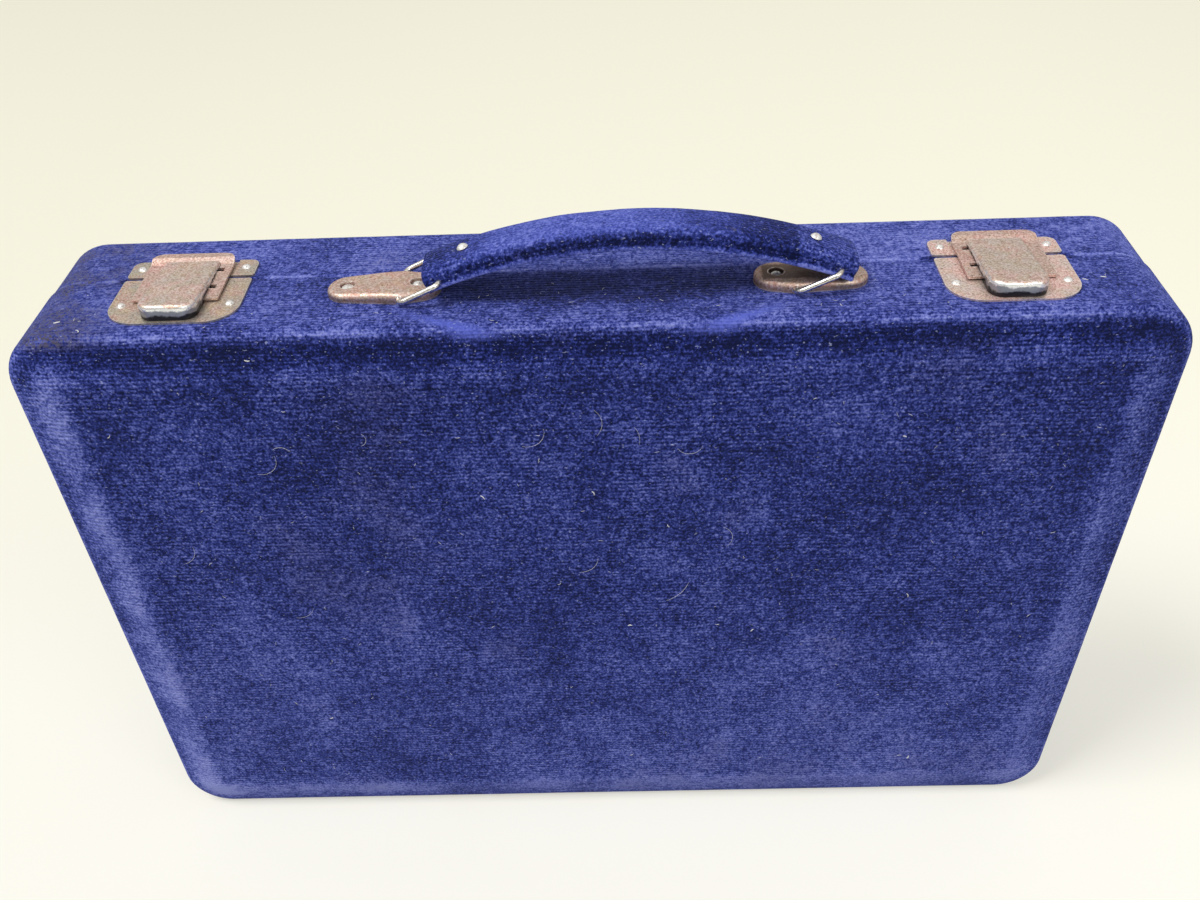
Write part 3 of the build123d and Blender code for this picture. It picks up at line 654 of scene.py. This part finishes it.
def steel_surface(place, metal, stained, bright, stain_scale, blotch, wear):
    """Colour and marks of old steel, from the colours of its plate, its stains and its bare edges."""
    marks = use_group(place.tree, metal_stain, {"Place": place, "Scale": stain_scale})
    marks["Edge"] = use_group(place.tree, edge_wear, {"Place": place, "Radius": wear})["Mask"]
    colour = mix_colour(marks["Stain"], (*metal, 1), (*stained, 1))
    colour = mix_colour(marks["Blotch"] * blotch, colour, tarnish_colour)
    colour = mix_colour(spread(marks["Speckle"], 0.40, 1.0, 0.0, 0.55), colour, (*bright, 1))
    colour = mix_colour(spread(marks["Speckle"], 0.55, 0.0, 0.0, 0.42), colour, rust_colour)
    colour = mix_colour(marks["Pits"] * 0.8, colour, pit_colour)
    return mix_colour(marks["Edge"], colour, (*bright, 1)), marks


def finish_steel(shader, colour, dull, marks, metallic):
    """Joins a steel surface to its shader, with a bump from its speckle and pits."""
    feed(shader, {"Base Color": colour, "Roughness": dull, "Metallic": metallic})
    roughen(shader, marks["Speckle"] * 0.35 - marks["Pits"], 0.45, steel_bump)


def worn_steel(name, metal, stained, bright, roughness, stain_scale, metallic=0.75, blotch=0.0):
    """Old plated steel: stains and pits over the plate, and bright metal on its edges."""
    material, shader, place = new_material(name)
    colour, marks = steel_surface(place, metal, stained, bright, stain_scale, blotch, plate_edge)
    dull = spread(marks["Stain"], 0.0, 1.0, roughness - 0.08, roughness + 0.14)
    finish_steel(shader, colour, dull - marks["Edge"] * 0.18, marks, metallic)
    return material


def cap_finish():
    """Thumb cap: stained roof, bright worn shoulder, dark plated walls with a painted bluish reflection of
    the velvet, and a black ragged foot.
    """
    material, shader, place = new_material("worn_cap")
    colour, marks = steel_surface(
        place, (0.72, 0.57, 0.49), (0.70, 0.46, 0.41), (0.88, 0.85, 0.82), 85, 0.40, cap_edge)
    low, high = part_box("thumb_cap_left")
    y, z = split(place)[1:]
    waver = (cloud(place, 260, 3, 0.6) - 0.5) * (4 * mm)
    level = z + (y - low.y) * cap_roof_slope + waver
    shoulder = spread(level, high.z - 0.30 * mm, high.z - 1.1 * mm)
    wall = spread(level, high.z - 1.7 * mm, high.z - 2.6 * mm)
    foot = spread(z + waver, low.z + 2.4 * mm, low.z + 1.6 * mm)
    colour = mix_colour(shoulder, colour, cap_shoulder_colour)
    # the walls take dark plating with a painted bluish reflection of the velvet
    colour = mix_colour(wall * 0.85, colour, cap_wall_and_reflection_colour)
    colour = mix_colour(foot, colour, cap_foot_colour)
    dull = spread(marks["Stain"], 0.0, 1.0, 0.40, 0.54) + shoulder * -0.22 + wall * 0.12
    finish_steel(shader, colour, dull, marks, 0.75)
    return material


def bracket_finish(side):
    """Handle bracket: rusty stained top and bright worn edges; the right one is eaten brown at one end."""
    material, shader, place = new_material("rusted_bracket_" + side)
    colour, marks = steel_surface(
        place, (0.60, 0.425, 0.355), (0.61, 0.355, 0.285), (0.80, 0.73, 0.68), 120, 0.35, bracket_edge)
    low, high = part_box("handle_bracket_" + side)
    middle = (low + high) / 2
    x, y, z = split(place)
    brown = spread(z, high.z - 1.9 * mm, high.z - 3.0 * mm) * 0.45
    if side == "right":
        across = abs(y - middle.y) + marks["Stain"] * (1.2 * mm)
        from_end = spread(x, low.x + 2.4 * mm, low.x + 4 * mm)
        to_middle = spread(x, middle.x + 6 * mm, middle.x - 3 * mm)
        eaten = spread(across, 7.4 * mm, 5.6 * mm) * to_middle * from_end * 0.85
        brown = calc(place.tree, "MAXIMUM", brown, eaten)
    brown = brown * spread(marks["Edge"], 0.1, 0.6, 1.0, 0.0)
    dull = spread(marks["Stain"], 0.0, 1.0, 0.42, 0.58) - marks["Edge"] * 0.2
    finish_steel(shader, mix_colour(brown, colour, eaten_brown), dull, marks, 0.65)
    return material


# Other materials

wood_tones = [(0.30, (0.36, 0.24, 0.13)), (0.52, (0.56, 0.41, 0.25)), (0.72, (0.68, 0.53, 0.35))]
pore_colour = (0.20, 0.12, 0.06, 1)
wood_bump = 0.2 * mm


def bare_wood():
    """Plain plywood with a fine grain along the case."""
    material, shader, place = new_material("plywood")
    grain = cloud(place, 60, 4, 0.65, (0.12, 1.6, 2.4))
    pores = cloud(place, 700, 2, 0.5, (0.1, 1, 1))
    colour = mix_colour(spread(pores, 0.60, 0.72, 0.0, 0.5), ramp(grain, wood_tones), pore_colour)
    feed(shader, {"Base Color": colour, "Roughness": spread(grain, 0.3, 0.7, 0.72, 0.58)})
    roughen(shader, grain, 0.3, wood_bump)
    return material


def lint_finish():
    """Dull fibres, from grey blue to cream."""
    material, shader, place = new_material("lint")
    tint = spread(cloud(place, 25, 1), 0.35, 0.65)
    colour = mix_colour(tint, (0.62, 0.63, 0.74, 1), (0.85, 0.84, 0.80, 1))
    feed(shader, {"Base Color": colour, "Roughness": 0.9})
    return material


# Share of the paper that glows by itself, and the light that reaches the rest of it
floor_glow = 0.48
floor_light = 0.84
floor_near_colour = (0.956, 0.939, 0.845, 1)
floor_far_colour = (0.960, 0.934, 0.772, 1)
floor_bounce_colour = (0.52, 0.51, 0.45, 1)
black = (0, 0, 0, 1)


def floor_finish():
    """Pale cream paper. Seen straight or mirrored it glows a little, so that the shadow stays light."""
    material, shader, place = new_material("pale_floor")
    tree = place.tree
    x, y = split(place)[:2]
    distance = spread(y, 0.02, 0.50, easing="LINEAR")
    balance = spread(x, -0.6, 0.5, 0.88, 1.04, easing="LINEAR")
    colour = mix_colour(distance, floor_near_colour, floor_far_colour)
    glow = add(tree, "ShaderNodeEmission", {"Color": colour, "Strength": floor_glow})
    paper = mix_colour(balance * ((1 - floor_glow) / floor_light), black, colour)
    upright = add(tree, "ShaderNodeCombineXYZ", {"Z": 1.0})
    lit = add(tree, "ShaderNodeBsdfDiffuse", {"Color": paper, "Normal": upright})
    shown = add(tree, "ShaderNodeAddShader", {0: glow, 1: lit})
    feed(shader, {"Base Color": floor_bounce_colour, "Roughness": 1.0, "Specular IOR Level": 0.0})
    seen = rays(tree, "Camera", "Glossy", "Transmission")
    both = add(tree, "ShaderNodeMixShader", {0: seen, 1: Value(shader.outputs[0]), 2: shown})
    output = next(node for node in tree.nodes if node.type == "OUTPUT_MATERIAL")
    feed(output, {"Surface": both})
    return material


# Coverings of the two halves

def covering_path(depth):
    """Skirt of a covering from the start of its bevel, over the shoulder and the side, to the rim."""
    slope = bevel_depth / bevel_width
    turn = math.atan2(bevel_width, bevel_depth)
    start_inset = edge_radius * math.tan(turn / 2) * math.sin(turn)
    start_depth = depth - bevel_depth + start_inset * slope
    corners = [(start_inset, start_depth), (0, depth - bevel_depth), (0, 0), (wall_inset, 0)]
    points = rounded_path(corners, [edge_radius, fold_radius], side_cell)
    return [(point.x, point.y) for point in points]


def fold_reach(depth):
    """Distance along the skirt to the middle of the fold at the parting."""
    path = covering_path(depth)
    length = sum(math.dist(before, after) for before, after in zip(path, path[1:]))
    return length - wall_inset + fold_radius * (1 - math.pi / 4)


def bevelled_face(depth):
    """Depth of the outer face at a distance in from the outline: bevel, soft crest, flat."""
    turn = math.atan2(bevel_depth, bevel_width)
    tangent = crest_radius * math.tan(turn / 2)
    crest_start = bevel_width - tangent * math.cos(turn)
    crest_end = bevel_width + tangent

    def face_depth(inset):
        if inset < crest_start:
            return depth - bevel_depth + inset * bevel_depth / bevel_width
        if inset < crest_end:
            return depth - crest_radius + math.sqrt(crest_radius ** 2 - (crest_end - inset) ** 2)
        return depth
    return face_depth


def sink_cloth(bm, amount, seed):
    """Lets a covering sink a little where its padding has settled, and gives its edges a soft waver."""
    bm.normal_update()
    shift = Vector((seed * 3.1, seed * 1.7, seed * 5.3))
    for vert in bm.verts:
        broad = noise.noise(vert.co * 16 + shift)
        small = noise.noise(vert.co * 70 + shift)
        vert.co -= vert.normal * amount * (0.5 + 0.35 * broad + 0.25 * small)


def clear_groove(bm, bottom):
    """Folds the bottom parting edge up along the hinge groove."""
    for vert in bm.verts:
        line = bottom + hinge_axis_height - abs(vert.co.y) / groove_slope
        if vert.co.z < line:
            vert.co.z = line


def cut_hinge_notches(bm, bottom):
    """Cuts the cloth away where the hinge leaves pass through it."""
    for side in (-1, 1):
        limits = (side * hinge_middle - hinge_notch_half, side * hinge_middle + hinge_notch_half)
        for limit in limits:
            geometry = bm.verts[:] + bm.edges[:] + bm.faces[:]
            bmesh.ops.bisect_plane(bm, geom=geometry, dist=1e-6, plane_co=(limit, 0, 0), plane_no=(1, 0, 0))
        doomed = []
        for face in bm.faces:
            centre = face.calc_center_median()
            inside = limits[0] < centre.x < limits[1]
            if inside and abs(centre.y) < hinge_notch_depth and centre.z < bottom + hinge_notch_height:
                doomed.append(face)
        bmesh.ops.delete(bm, geom=doomed, context="FACES")


def finish_half(name, bm, node, body, material, thickness):
    """Turns a sheet made with its depth along +Y to its side of the case, as a piece of cloth."""
    low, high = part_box(node)
    outward, parting = (-1, high.y) if body == "base" else (1, low.y)
    middle = Vector(((low.x + high.x) / 2, parting, (low.z + high.z) / 2))
    bmesh.ops.scale(bm, vec=(1, outward, 1), verts=bm.verts)
    bmesh.ops.translate(bm, vec=middle, verts=bm.verts)
    if outward < 0:
        bmesh.ops.reverse_faces(bm, faces=bm.faces)
    piece = new_piece(name, bm, body, material, [node])
    cloth = piece.modifiers.new("thickness", "SOLIDIFY")
    cloth.thickness = thickness
    cloth.offset = -1


def half_covering(name, node, body, material, seed):
    """Velvet covering of a half: crowned face, bevel, side and the fold at the parting."""
    low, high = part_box(node)
    depth = high.y - low.y
    half_width = (high.x - low.x) / 2
    half_height = (high.z - low.z) / 2
    bm = tray(half_width, half_height, corner_radius, covering_path(depth), bevelled_face(depth), cloth_cell)
    bmesh.ops.recalc_face_normals(bm, faces=bm.faces)
    sink_cloth(bm, cloth_sink, seed)
    clear_groove(bm, -half_height)
    cut_hinge_notches(bm, -half_height)
    finish_half(name, bm, node, body, material, cloth_thickness)


def half_lining(name, node, body, material, seed):
    """Plush lining of a half: walls that cove softly into a slightly full floor."""
    low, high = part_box(node)
    half_width = (high.x - low.x) / 2 - lining_gap
    half_height = (high.z - low.z) / 2 - lining_gap
    wall = lining_thickness
    depth = high.y - low.y - wall - lining_gap
    corners = [(lining_cove + wall + lining_flat, depth), (wall, depth), (wall, 0)]
    path = [(point.x, point.y) for point in rounded_path(corners, [lining_cove], side_cell)]
    bm = tray(half_width, half_height, corner_radius - wall_inset, path, lambda inset: depth, lining_cell)
    bmesh.ops.recalc_face_normals(bm, faces=bm.faces)
    bmesh.ops.reverse_faces(bm, faces=bm.faces)
    sink_cloth(bm, -lining_puff, seed)
    finish_half(name, bm, node, body, material, lining_thickness * lining_glued_share)


# Handle

def handle_section():
    """Half of the handle's section, from the middle of its underside to the middle of its padded top.

    Each point is (across, above the underside, distance along the section from the piping).
    """
    edge = handle_half_width
    crown = handle_thickness
    underside = [(0.0, 0.0), (5 * mm, 0.0), (9.3 * mm, 0.0), (10.4 * mm, 0.25 * mm)]
    piping = []
    for step in range(piping_steps + 1):
        angle = math.radians(-125 + step * 205 / piping_steps)
        out, up = piping_radius * math.cos(angle), piping_radius * math.sin(angle)
        piping.append((edge - 0.55 * mm + out, 1.1 * mm + up))
    wall = [(edge - 0.75 * mm, 2.6 * mm), (edge - 0.25 * mm, 4.3 * mm)]
    brow = [(edge - 0.5 * mm, 5.7 * mm), (edge - 1.4 * mm, 6.9 * mm), (edge - 3.0 * mm, crown - 0.75 * mm),
            (edge - 5.2 * mm, crown - 0.3 * mm)]
    points = underside + piping + wall + brow + [(4 * mm, crown - 0.05 * mm), (0.0, crown)]
    lengths = [0.0]
    for before, after in zip(points, points[1:]):
        lengths.append(lengths[-1] + math.dist(before, after))
    middle = lengths[len(underside) + piping_steps // 2]
    return [(across, up, length - middle) for (across, up), length in zip(points, lengths)]


def handle_pad(material):
    """Padded cover of the handle: its section is spun along the arch and closed with square ends."""
    low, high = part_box("handle_cover")
    middle = (low + high) / 2
    radius = (handle_reach ** 2 + handle_rise ** 2) / (2 * handle_rise)
    centre = Vector((middle.x, middle.y, high.z - handle_thickness - radius))
    sweep = 2 * math.asin(handle_reach / radius)
    bm = bmesh.new()
    reach = bm.verts.layers.float.new("reach")
    nap = bm.verts.layers.float.new("nap")
    section = handle_section()
    loop = section + [(-across, up, length) for across, up, length in reversed(section[1:-1])]
    verts = []
    around = 0.0
    for index, (across, up, length) in enumerate(loop):
        vert = bm.verts.new((centre.x, centre.y + across, centre.z + radius + up))
        vert[reach] = length
        if index:
            around += math.dist(loop[index - 1][:2], (across, up))
        vert[nap] = around
        verts.append(vert)
    edges = [bm.edges.new(pair) for pair in zip(verts, verts[1:] + verts[:1])]
    turn = Matrix.Rotation(-sweep / 2, 3, "Y")
    bmesh.ops.rotate(bm, cent=centre, matrix=turn, verts=verts)
    spun = bmesh.ops.spin(bm, geom=verts + edges, cent=centre, axis=(0, 1, 0), angle=sweep,
                          steps=handle_steps)
    far_edges = [item for item in spun["geom_last"] if isinstance(item, bmesh.types.BMEdge)]
    for rim in (edges, far_edges):
        cap = bmesh.ops.contextual_create(bm, geom=rim)["faces"]
        bmesh.ops.inset_region(bm, faces=cap, thickness=handle_end_lip, depth=handle_end_puff)
    bmesh.ops.recalc_face_normals(bm, faces=bm.faces)
    shape_handle(bm, centre, radius)
    piece = new_piece("padded_handle", bm, "handle", material, ["handle_cover"])


def shape_handle(bm, centre, radius):
    """Gives the padded top small lumps and draws it in round the two rivets."""
    angle = math.asin(handle_rivet_reach / radius)
    height = radius + handle_thickness
    across, up = height * math.sin(angle), height * math.cos(angle)
    rivets = [centre + Vector((side * across, 0, up)) for side in (-1, 1)]
    bm.normal_update()
    for vert in bm.verts:
        lump = noise.noise(vert.co * 55) * broad_lump + noise.noise(vert.co * 160) * small_lump
        for rivet in rivets:
            away = (vert.co - rivet).length
            lump -= rivet_pull * math.exp(-(away / rivet_pull_reach) ** 2)
        vert.co += vert.normal * lump


# Rivets of the handle brackets

plain_head_radius = 1.9 * mm
plain_head_height = 1.1 * mm
seated_head_radius = 2.6 * mm
seated_rim_height = 1.5 * mm
seated_shank_radius = 1.2 * mm
least_dome = 0.6 * mm
head_below_bracket = 0.2 * mm
bracket_nose_drop = 1.1 * mm
dome_steps = 6
rivet_sides = 32


def seated_rivets(side, material):
    """Domed rivet heads that fill the two round seats of a bracket almost to its top."""
    node = "bracket_rivets_" + side
    low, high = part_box(node)
    seat = high.z - plain_head_height
    bracket_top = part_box("handle_bracket_" + side)[1].z - head_below_bracket
    middle_y = (low.y + high.y) / 2
    bm = bmesh.new()
    for x in (low.x + plain_head_radius, high.x - plain_head_radius):
        outer = abs(x) > abs(low.x + high.x) / 2
        top = bracket_top - (bracket_nose_drop if outer else 0.0)
        rim = min(seat + seated_rim_height, top - least_dome)
        points = [(0.0, low.z), (seated_shank_radius, low.z), (seated_shank_radius, seat),
                  (seated_head_radius, seat), (seated_head_radius, rim)]
        for step in range(1, dome_steps + 1):
            angle = step * math.pi / 2 / dome_steps
            points.append((seated_head_radius * math.cos(angle), rim + (top - rim) * math.sin(angle)))
        verts = [bm.verts.new((x + across, middle_y, up)) for across, up in points]
        edges = [bm.edges.new(pair) for pair in zip(verts, verts[1:])]
        bmesh.ops.spin(bm, geom=verts + edges, cent=(x, middle_y, 0), axis=(0, 0, 1), angle=2 * math.pi,
                       steps=rivet_sides, use_merge=True)
    bmesh.ops.remove_doubles(bm, verts=bm.verts, dist=0.005 * mm)
    bmesh.ops.recalc_face_normals(bm, faces=bm.faces)
    new_piece("seated_rivets_" + side, bm, "base", material, [node])


# Return springs of the thumb caps


def return_spring(side, material):
    """Folded spring of a cap: it bears on the stop of the hasp."""
    node = "cap_spring_" + side
    bm = bmesh.new()
    bm.from_mesh(cad_nodes[node].data)
    bmesh.ops.remove_doubles(bm, verts=bm.verts, dist=0.001 * mm)
    piece = new_piece("return_spring_" + side, bm, "hasp_" + side, material, [node],
                      smooth=False)
    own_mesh(piece)


# Lint caught in the velvet

# Places of the large bits, and areas that the others scatter over, in millimetres
front_lint_places = [(-2.3, 223.1), (30.3, 203.3), (12.4, 141.3), (71.9, 136.0), (144.4, 157.2),
                     (129.0, 249.3), (-145.7, 76.9), (163.2, 34.8), (-137.8, 293.7), (-51.0, 222.3)]
top_lint_places = [(198.3, -18.1), (206.0, -16.5), (-216.0, -30.0), (-205.0, -37.0), (98.0, -33.0)]
front_lint_area = (-212, 212, 26, 282)
top_lint_area = (-215, 215, -40, -8)
hair_area = (-205, 205, 150, 280)
front_lint_count = 130
top_lint_count = 50
hair_count = 12
lint_radius = 0.13 * mm
hair_radius = 0.07 * mm
lint_sides = 5
out_front = Vector((0, -1, 0))
out_top = Vector((0, 0, 1))


def lint_strand(bm, root, along, out, length, radius, curl, steps=5):
    """One short curled fibre that lies on a surface whose outward direction is given."""
    ring = None
    across = along.cross(out)
    for step in range(steps + 1):
        share = step / steps
        angle = curl * (share - 0.5) * math.pi
        reach = length * (share - 0.5)
        bow = 0.0
        if curl:
            reach = length * math.sin(angle) / (curl * math.pi)
            bow = length * (math.cos(angle) - 1) / (curl * math.pi)
        centre = root + along * reach + across * bow
        width = radius * (0.55 + 0.45 * math.sin(share * math.pi))
        made = bmesh.ops.create_circle(bm, segments=lint_sides, radius=width)["verts"]
        heading = along * math.cos(angle) - across * math.sin(angle)
        bmesh.ops.rotate(bm, matrix=heading.to_track_quat("Z", "Y").to_matrix(), verts=made)
        bmesh.ops.translate(bm, vec=centre, verts=made)
        edges = list({edge for vert in made for edge in vert.link_edges})
        if ring:
            bmesh.ops.bridge_loops(bm, edges=ring + edges)
        else:
            bmesh.ops.contextual_create(bm, geom=edges)
        ring = edges
    bmesh.ops.contextual_create(bm, geom=ring)


def draw_spot(draw, area):
    """Random place within an area of (low, high, low, high) millimetres."""
    return draw.uniform(*area[:2]) * mm, draw.uniform(*area[2:]) * mm


def scatter_lint(bm, draw, places, count, area, on_surface, out):
    """Large bits at the given places, then small ones at random within an area."""
    spots = [(first * mm, second * mm) for first, second in places]
    spots += [draw_spot(draw, area) for _ in range(count)]
    for index, spot in enumerate(spots):
        big = index < len(places)
        turn = draw.uniform(0, math.pi)
        along = on_surface(math.cos(turn), math.sin(turn))
        length = draw.uniform(1.6, 3.0) * mm if big else draw.uniform(0.5, 2.4) * mm
        radius = lint_radius * (draw.uniform(1.5, 2.4) if big else draw.uniform(0.5, 0.95))
        root = on_surface(*spot)
        root += out * ((case_top if out.z else -base_low.y) + radius * 0.2)
        lint_strand(bm, root, along, out, length, radius, draw.uniform(-0.6, 0.6))


def on_front(across, up):
    return Vector((across, 0, up))


def on_upper_side(across, back):
    return Vector((across, back, 0))


def front_lint(material):
    """White fibres and specks on the front face and the top, and long curved hairs on the front."""
    draw = random.Random(11)
    bm = bmesh.new()
    scatter_lint(bm, draw, front_lint_places, front_lint_count, front_lint_area, on_front, out_front)
    scatter_lint(bm, draw, top_lint_places, top_lint_count, top_lint_area, on_upper_side, out_top)
    for _ in range(hair_count):
        turn = draw.uniform(0, math.pi)
        root = on_front(*draw_spot(draw, hair_area)) + out_front * -base_low.y
        along = on_front(math.cos(turn), math.sin(turn))
        length = draw.uniform(7, 18) * mm
        lint_strand(bm, root, along, out_front, length, hair_radius, draw.uniform(0.2, 0.8), steps=14)
    bmesh.ops.recalc_face_normals(bm, faces=bm.faces)
    new_piece("front_lint", bm, "base", material)


# Finishes of the parts that stay as they are built

def finish_node(name, material):
    """Covers a part that keeps its form with a material."""
    mesh = cad_nodes[name].data
    mesh.materials.clear()
    mesh.materials.append(material)


# Colours of the plate, its stains and its bare edges, then roughness, scale of stains, metallic and blotches
steels = {
    "stained_plate_left": ((0.49, 0.44, 0.385), (0.53, 0.34, 0.29), (0.74, 0.71, 0.63), 0.46, 75, 0.75, 0.45),
    "stained_plate_right": ((0.80, 0.64, 0.59), (0.80, 0.50, 0.46), (0.94, 0.89, 0.84), 0.46, 75, 0.75, 0.30),
    "reddened_plate": ((0.66, 0.45, 0.39), (0.61, 0.35, 0.31), (0.84, 0.73, 0.68), 0.48, 60, 0.75, 0.20),
    "nickel": ((0.78, 0.77, 0.74), (0.66, 0.63, 0.57), (0.90, 0.90, 0.88), 0.22, 140, 1.0),
    "bright_rivet": ((0.86, 0.86, 0.84), (0.78, 0.75, 0.71), (0.95, 0.95, 0.93), 0.30, 200, 0.45),
    "zinc": ((0.60, 0.60, 0.58), (0.46, 0.46, 0.45), (0.76, 0.76, 0.75), 0.40, 120, 1.0),
    "blued_strip": ((0.20, 0.22, 0.26), (0.13, 0.14, 0.17), (0.42, 0.44, 0.48), 0.34, 150, 1.0),
}
fittings = {
    "hasp": "reddened_plate",
    "latch_base_rivets": "bright_rivet",
    "latch_lid_rivets": "bright_rivet",
    "hasp_pin": "nickel",
    "latch_keeper": "zinc",
    "cap_catch": "zinc",
    "handle_ring": "nickel",
    "base_hinge_leaf": "zinc",
    "lid_hinge_leaf": "zinc",
    "hinge_pin": "zinc",
}
single_fittings = {
    "base_hinge_nails": "zinc",
    "lid_hinge_nails": "zinc",
    "handle_rivets": "bright_rivet",
    "handle_core": "blued_strip",
}


def finish_metal():
    """Finishes the plates and fittings, and adds the rivets and springs that are made anew."""
    steel = {name: worn_steel(name, *look) for name, look in steels.items()}
    cap = cap_finish()
    for side in ("left", "right"):
        for node, look in fittings.items():
            finish_node(node + "_" + side, steel[look])
        for plate in ("latch_base_plate_", "latch_lid_plate_"):
            finish_node(plate + side, steel["stained_plate_" + side])
        finish_node("thumb_cap_" + side, cap)
        finish_node("handle_bracket_" + side, bracket_finish(side))
        seated_rivets(side, steel["bright_rivet"])
        return_spring(side, steel["blued_strip"])
    for node, look in single_fittings.items():
        finish_node(node, steel[look])


def finish_inside(plush):
    """Bare wood for the frames and panels, plush for the dividers."""
    wood = bare_wood()
    for node in ("base_frame", "base_panel", "lid_frame", "lid_panel"):
        finish_node(node, wood)
    for node in ("rack_divider", "tile_dividers"):
        finish_node(node, plush)


# Floor, light and camera

floor_half_size = 6.0
floor_cells = 320
floor_even_share = 0.12
dip_depth = 45 * mm
dip_fall = 0.0875
dip_corner = (215 * mm, 243 * mm)
dip_start = (-14 * mm, -6 * mm)
dip_corner_start = (16 * mm, 32 * mm)
dip_end = (318 * mm, 620 * mm)
dip_side_slope = 0.6
dip_side_width = 7 * mm
even_light = 0.38


def eased(value, start, end):
    """Share between 0 and 1 of the way from start to end, eased at both."""
    share = min(1.0, max(0.0, (value - start) / (end - start)))
    return share * share * (3 - 2 * share)


def floor_dip(x, y):
    """Depth of the dip behind the case, out of the camera's sight, that the opened lid swings into.

    It starts under the case, later at its corners, and widens and deepens behind it.
    """
    behind = max(0.0, y)
    cornered = eased(abs(x), *dip_corner)
    start, end = (first + (last - first) * cornered for first, last in zip(dip_start, dip_corner_start))
    beyond = 1 - eased(y, *dip_end)
    side = dip_corner[1]
    beside = 1 - eased(abs(x), side, side + dip_side_width + dip_side_slope * behind)
    return (dip_depth + dip_fall * behind) * eased(y, start, end) * beyond * beside


def floor():
    """Pale floor: flat, apart from the dip behind the case, and with its cells close together near it."""
    bm = bmesh.new()
    bmesh.ops.create_grid(bm, x_segments=floor_cells, y_segments=floor_cells, size=1)
    for vert in bm.verts:
        shares = [floor_even_share * part + (1 - floor_even_share) * part ** 5 for part in vert.co.xy]
        x, y = (floor_half_size * share for share in shares)
        vert.co = (x, y, -floor_dip(x, y))
    piece = new_object("floor", bm, floor_finish())


def lamp(name, place, target, size, power):
    """Square lamp that points at its target."""
    data = bpy.data.lights.new(name, "AREA")
    data.shape = "SQUARE"
    data.size = size
    data.energy = power
    piece = bpy.data.objects.new(name, data)
    piece.location = place
    piece.rotation_euler = (Vector(target) - Vector(place)).to_track_quat("-Z", "Y").to_euler()
    scene.collection.objects.link(piece)


def sky():
    """Even soft light. Metal mirrors a stronger one from above, and the camera sees the floor's colour."""
    world = bpy.data.worlds.new("soft_sky")
    scene.world = world
    world.use_nodes = True
    tree = world.node_tree
    tree.nodes.clear()
    up = split(add(tree, "ShaderNodeTexCoord", output="Generated"))[2]
    mirrored = spread(up, -0.1, 0.75, 0.22, 0.85)
    even = add(tree, "ShaderNodeBackground", {"Color": (1, 1, 1, 1), "Strength": even_light})
    shown = add(tree, "ShaderNodeBackground", {"Color": (1.0, 0.985, 0.94, 1), "Strength": mirrored})
    both = add(tree, "ShaderNodeMixShader", {0: rays(tree, "Glossy", "Transmission"), 1: even, 2: shown})
    horizon = floor_glow + (1 - floor_glow) / floor_light * even_light
    backdrop = add(tree, "ShaderNodeBackground", {"Color": floor_near_colour, "Strength": horizon})
    behind = add(tree, "ShaderNodeMixShader", {0: rays(tree, "Camera"), 1: both, 2: backdrop})
    new_node(tree, "ShaderNodeOutputWorld", {"Surface": behind})


camera_place = Vector((10.06, -441.33, 534.11)) * mm
camera_pitch = 0.759648
camera_yaw = -0.0295546
camera_roll = 0.0426537
camera_lens = 34.373
camera_rise = 0.125


def camera():
    """Camera at the photograph's place: pitch below the horizon, then yaw, then roll about its axis."""
    forward = math.cos(camera_pitch)
    ahead = Vector((math.sin(camera_yaw) * forward, math.cos(camera_yaw) * forward, -math.sin(camera_pitch)))
    level = Vector((math.cos(camera_yaw), -math.sin(camera_yaw), 0))
    under = ahead.cross(level)
    right = level * math.cos(camera_roll) + under * math.sin(camera_roll)
    down = under * math.cos(camera_roll) - level * math.sin(camera_roll)
    data = bpy.data.cameras.new("camera")
    data.sensor_width = 36
    data.lens = camera_lens
    data.shift_y = camera_rise
    data.clip_start = 0.01
    piece = bpy.data.objects.new("camera", data)
    turn = Matrix((right, -down, -ahead)).transposed()
    piece.matrix_world = Matrix.Translation(camera_place) @ turn.to_4x4()
    scene.collection.objects.link(piece)
    scene.camera = piece


# The object

base_velvet = velvet("velvet_base", case_marks(base_high.y - base_low.y, True))
lid_velvet = velvet("velvet_lid", case_marks(lid_high.y - lid_low.y, False))
handle_velvet = velvet("velvet_handle", handle_marks, sheen=0.24)
plush = velvet("velvet_lining", lining_marks, sheen=0.25)

half_covering("front_covering", "base_covering", "base", base_velvet, 1)
half_covering("rear_covering", "lid_covering", "lid", lid_velvet, 2)
half_lining("tray_lining", "base_lining", "base", plush, 3)
half_lining("cover_lining", "lid_lining", "lid", plush, 4)
handle_pad(handle_velvet)
front_lint(lint_finish())
finish_metal()
finish_inside(plush)

floor()
sky()
lamp("key", (-1.65, -0.675, 3.2), (0, 0, 0.2), 1.35, 70)
lamp("fill", (1.0, -1.5, 1.6), (0, 0, 0.15), 1.4, 14)
camera()
scene.view_settings.view_transform = "Standard"
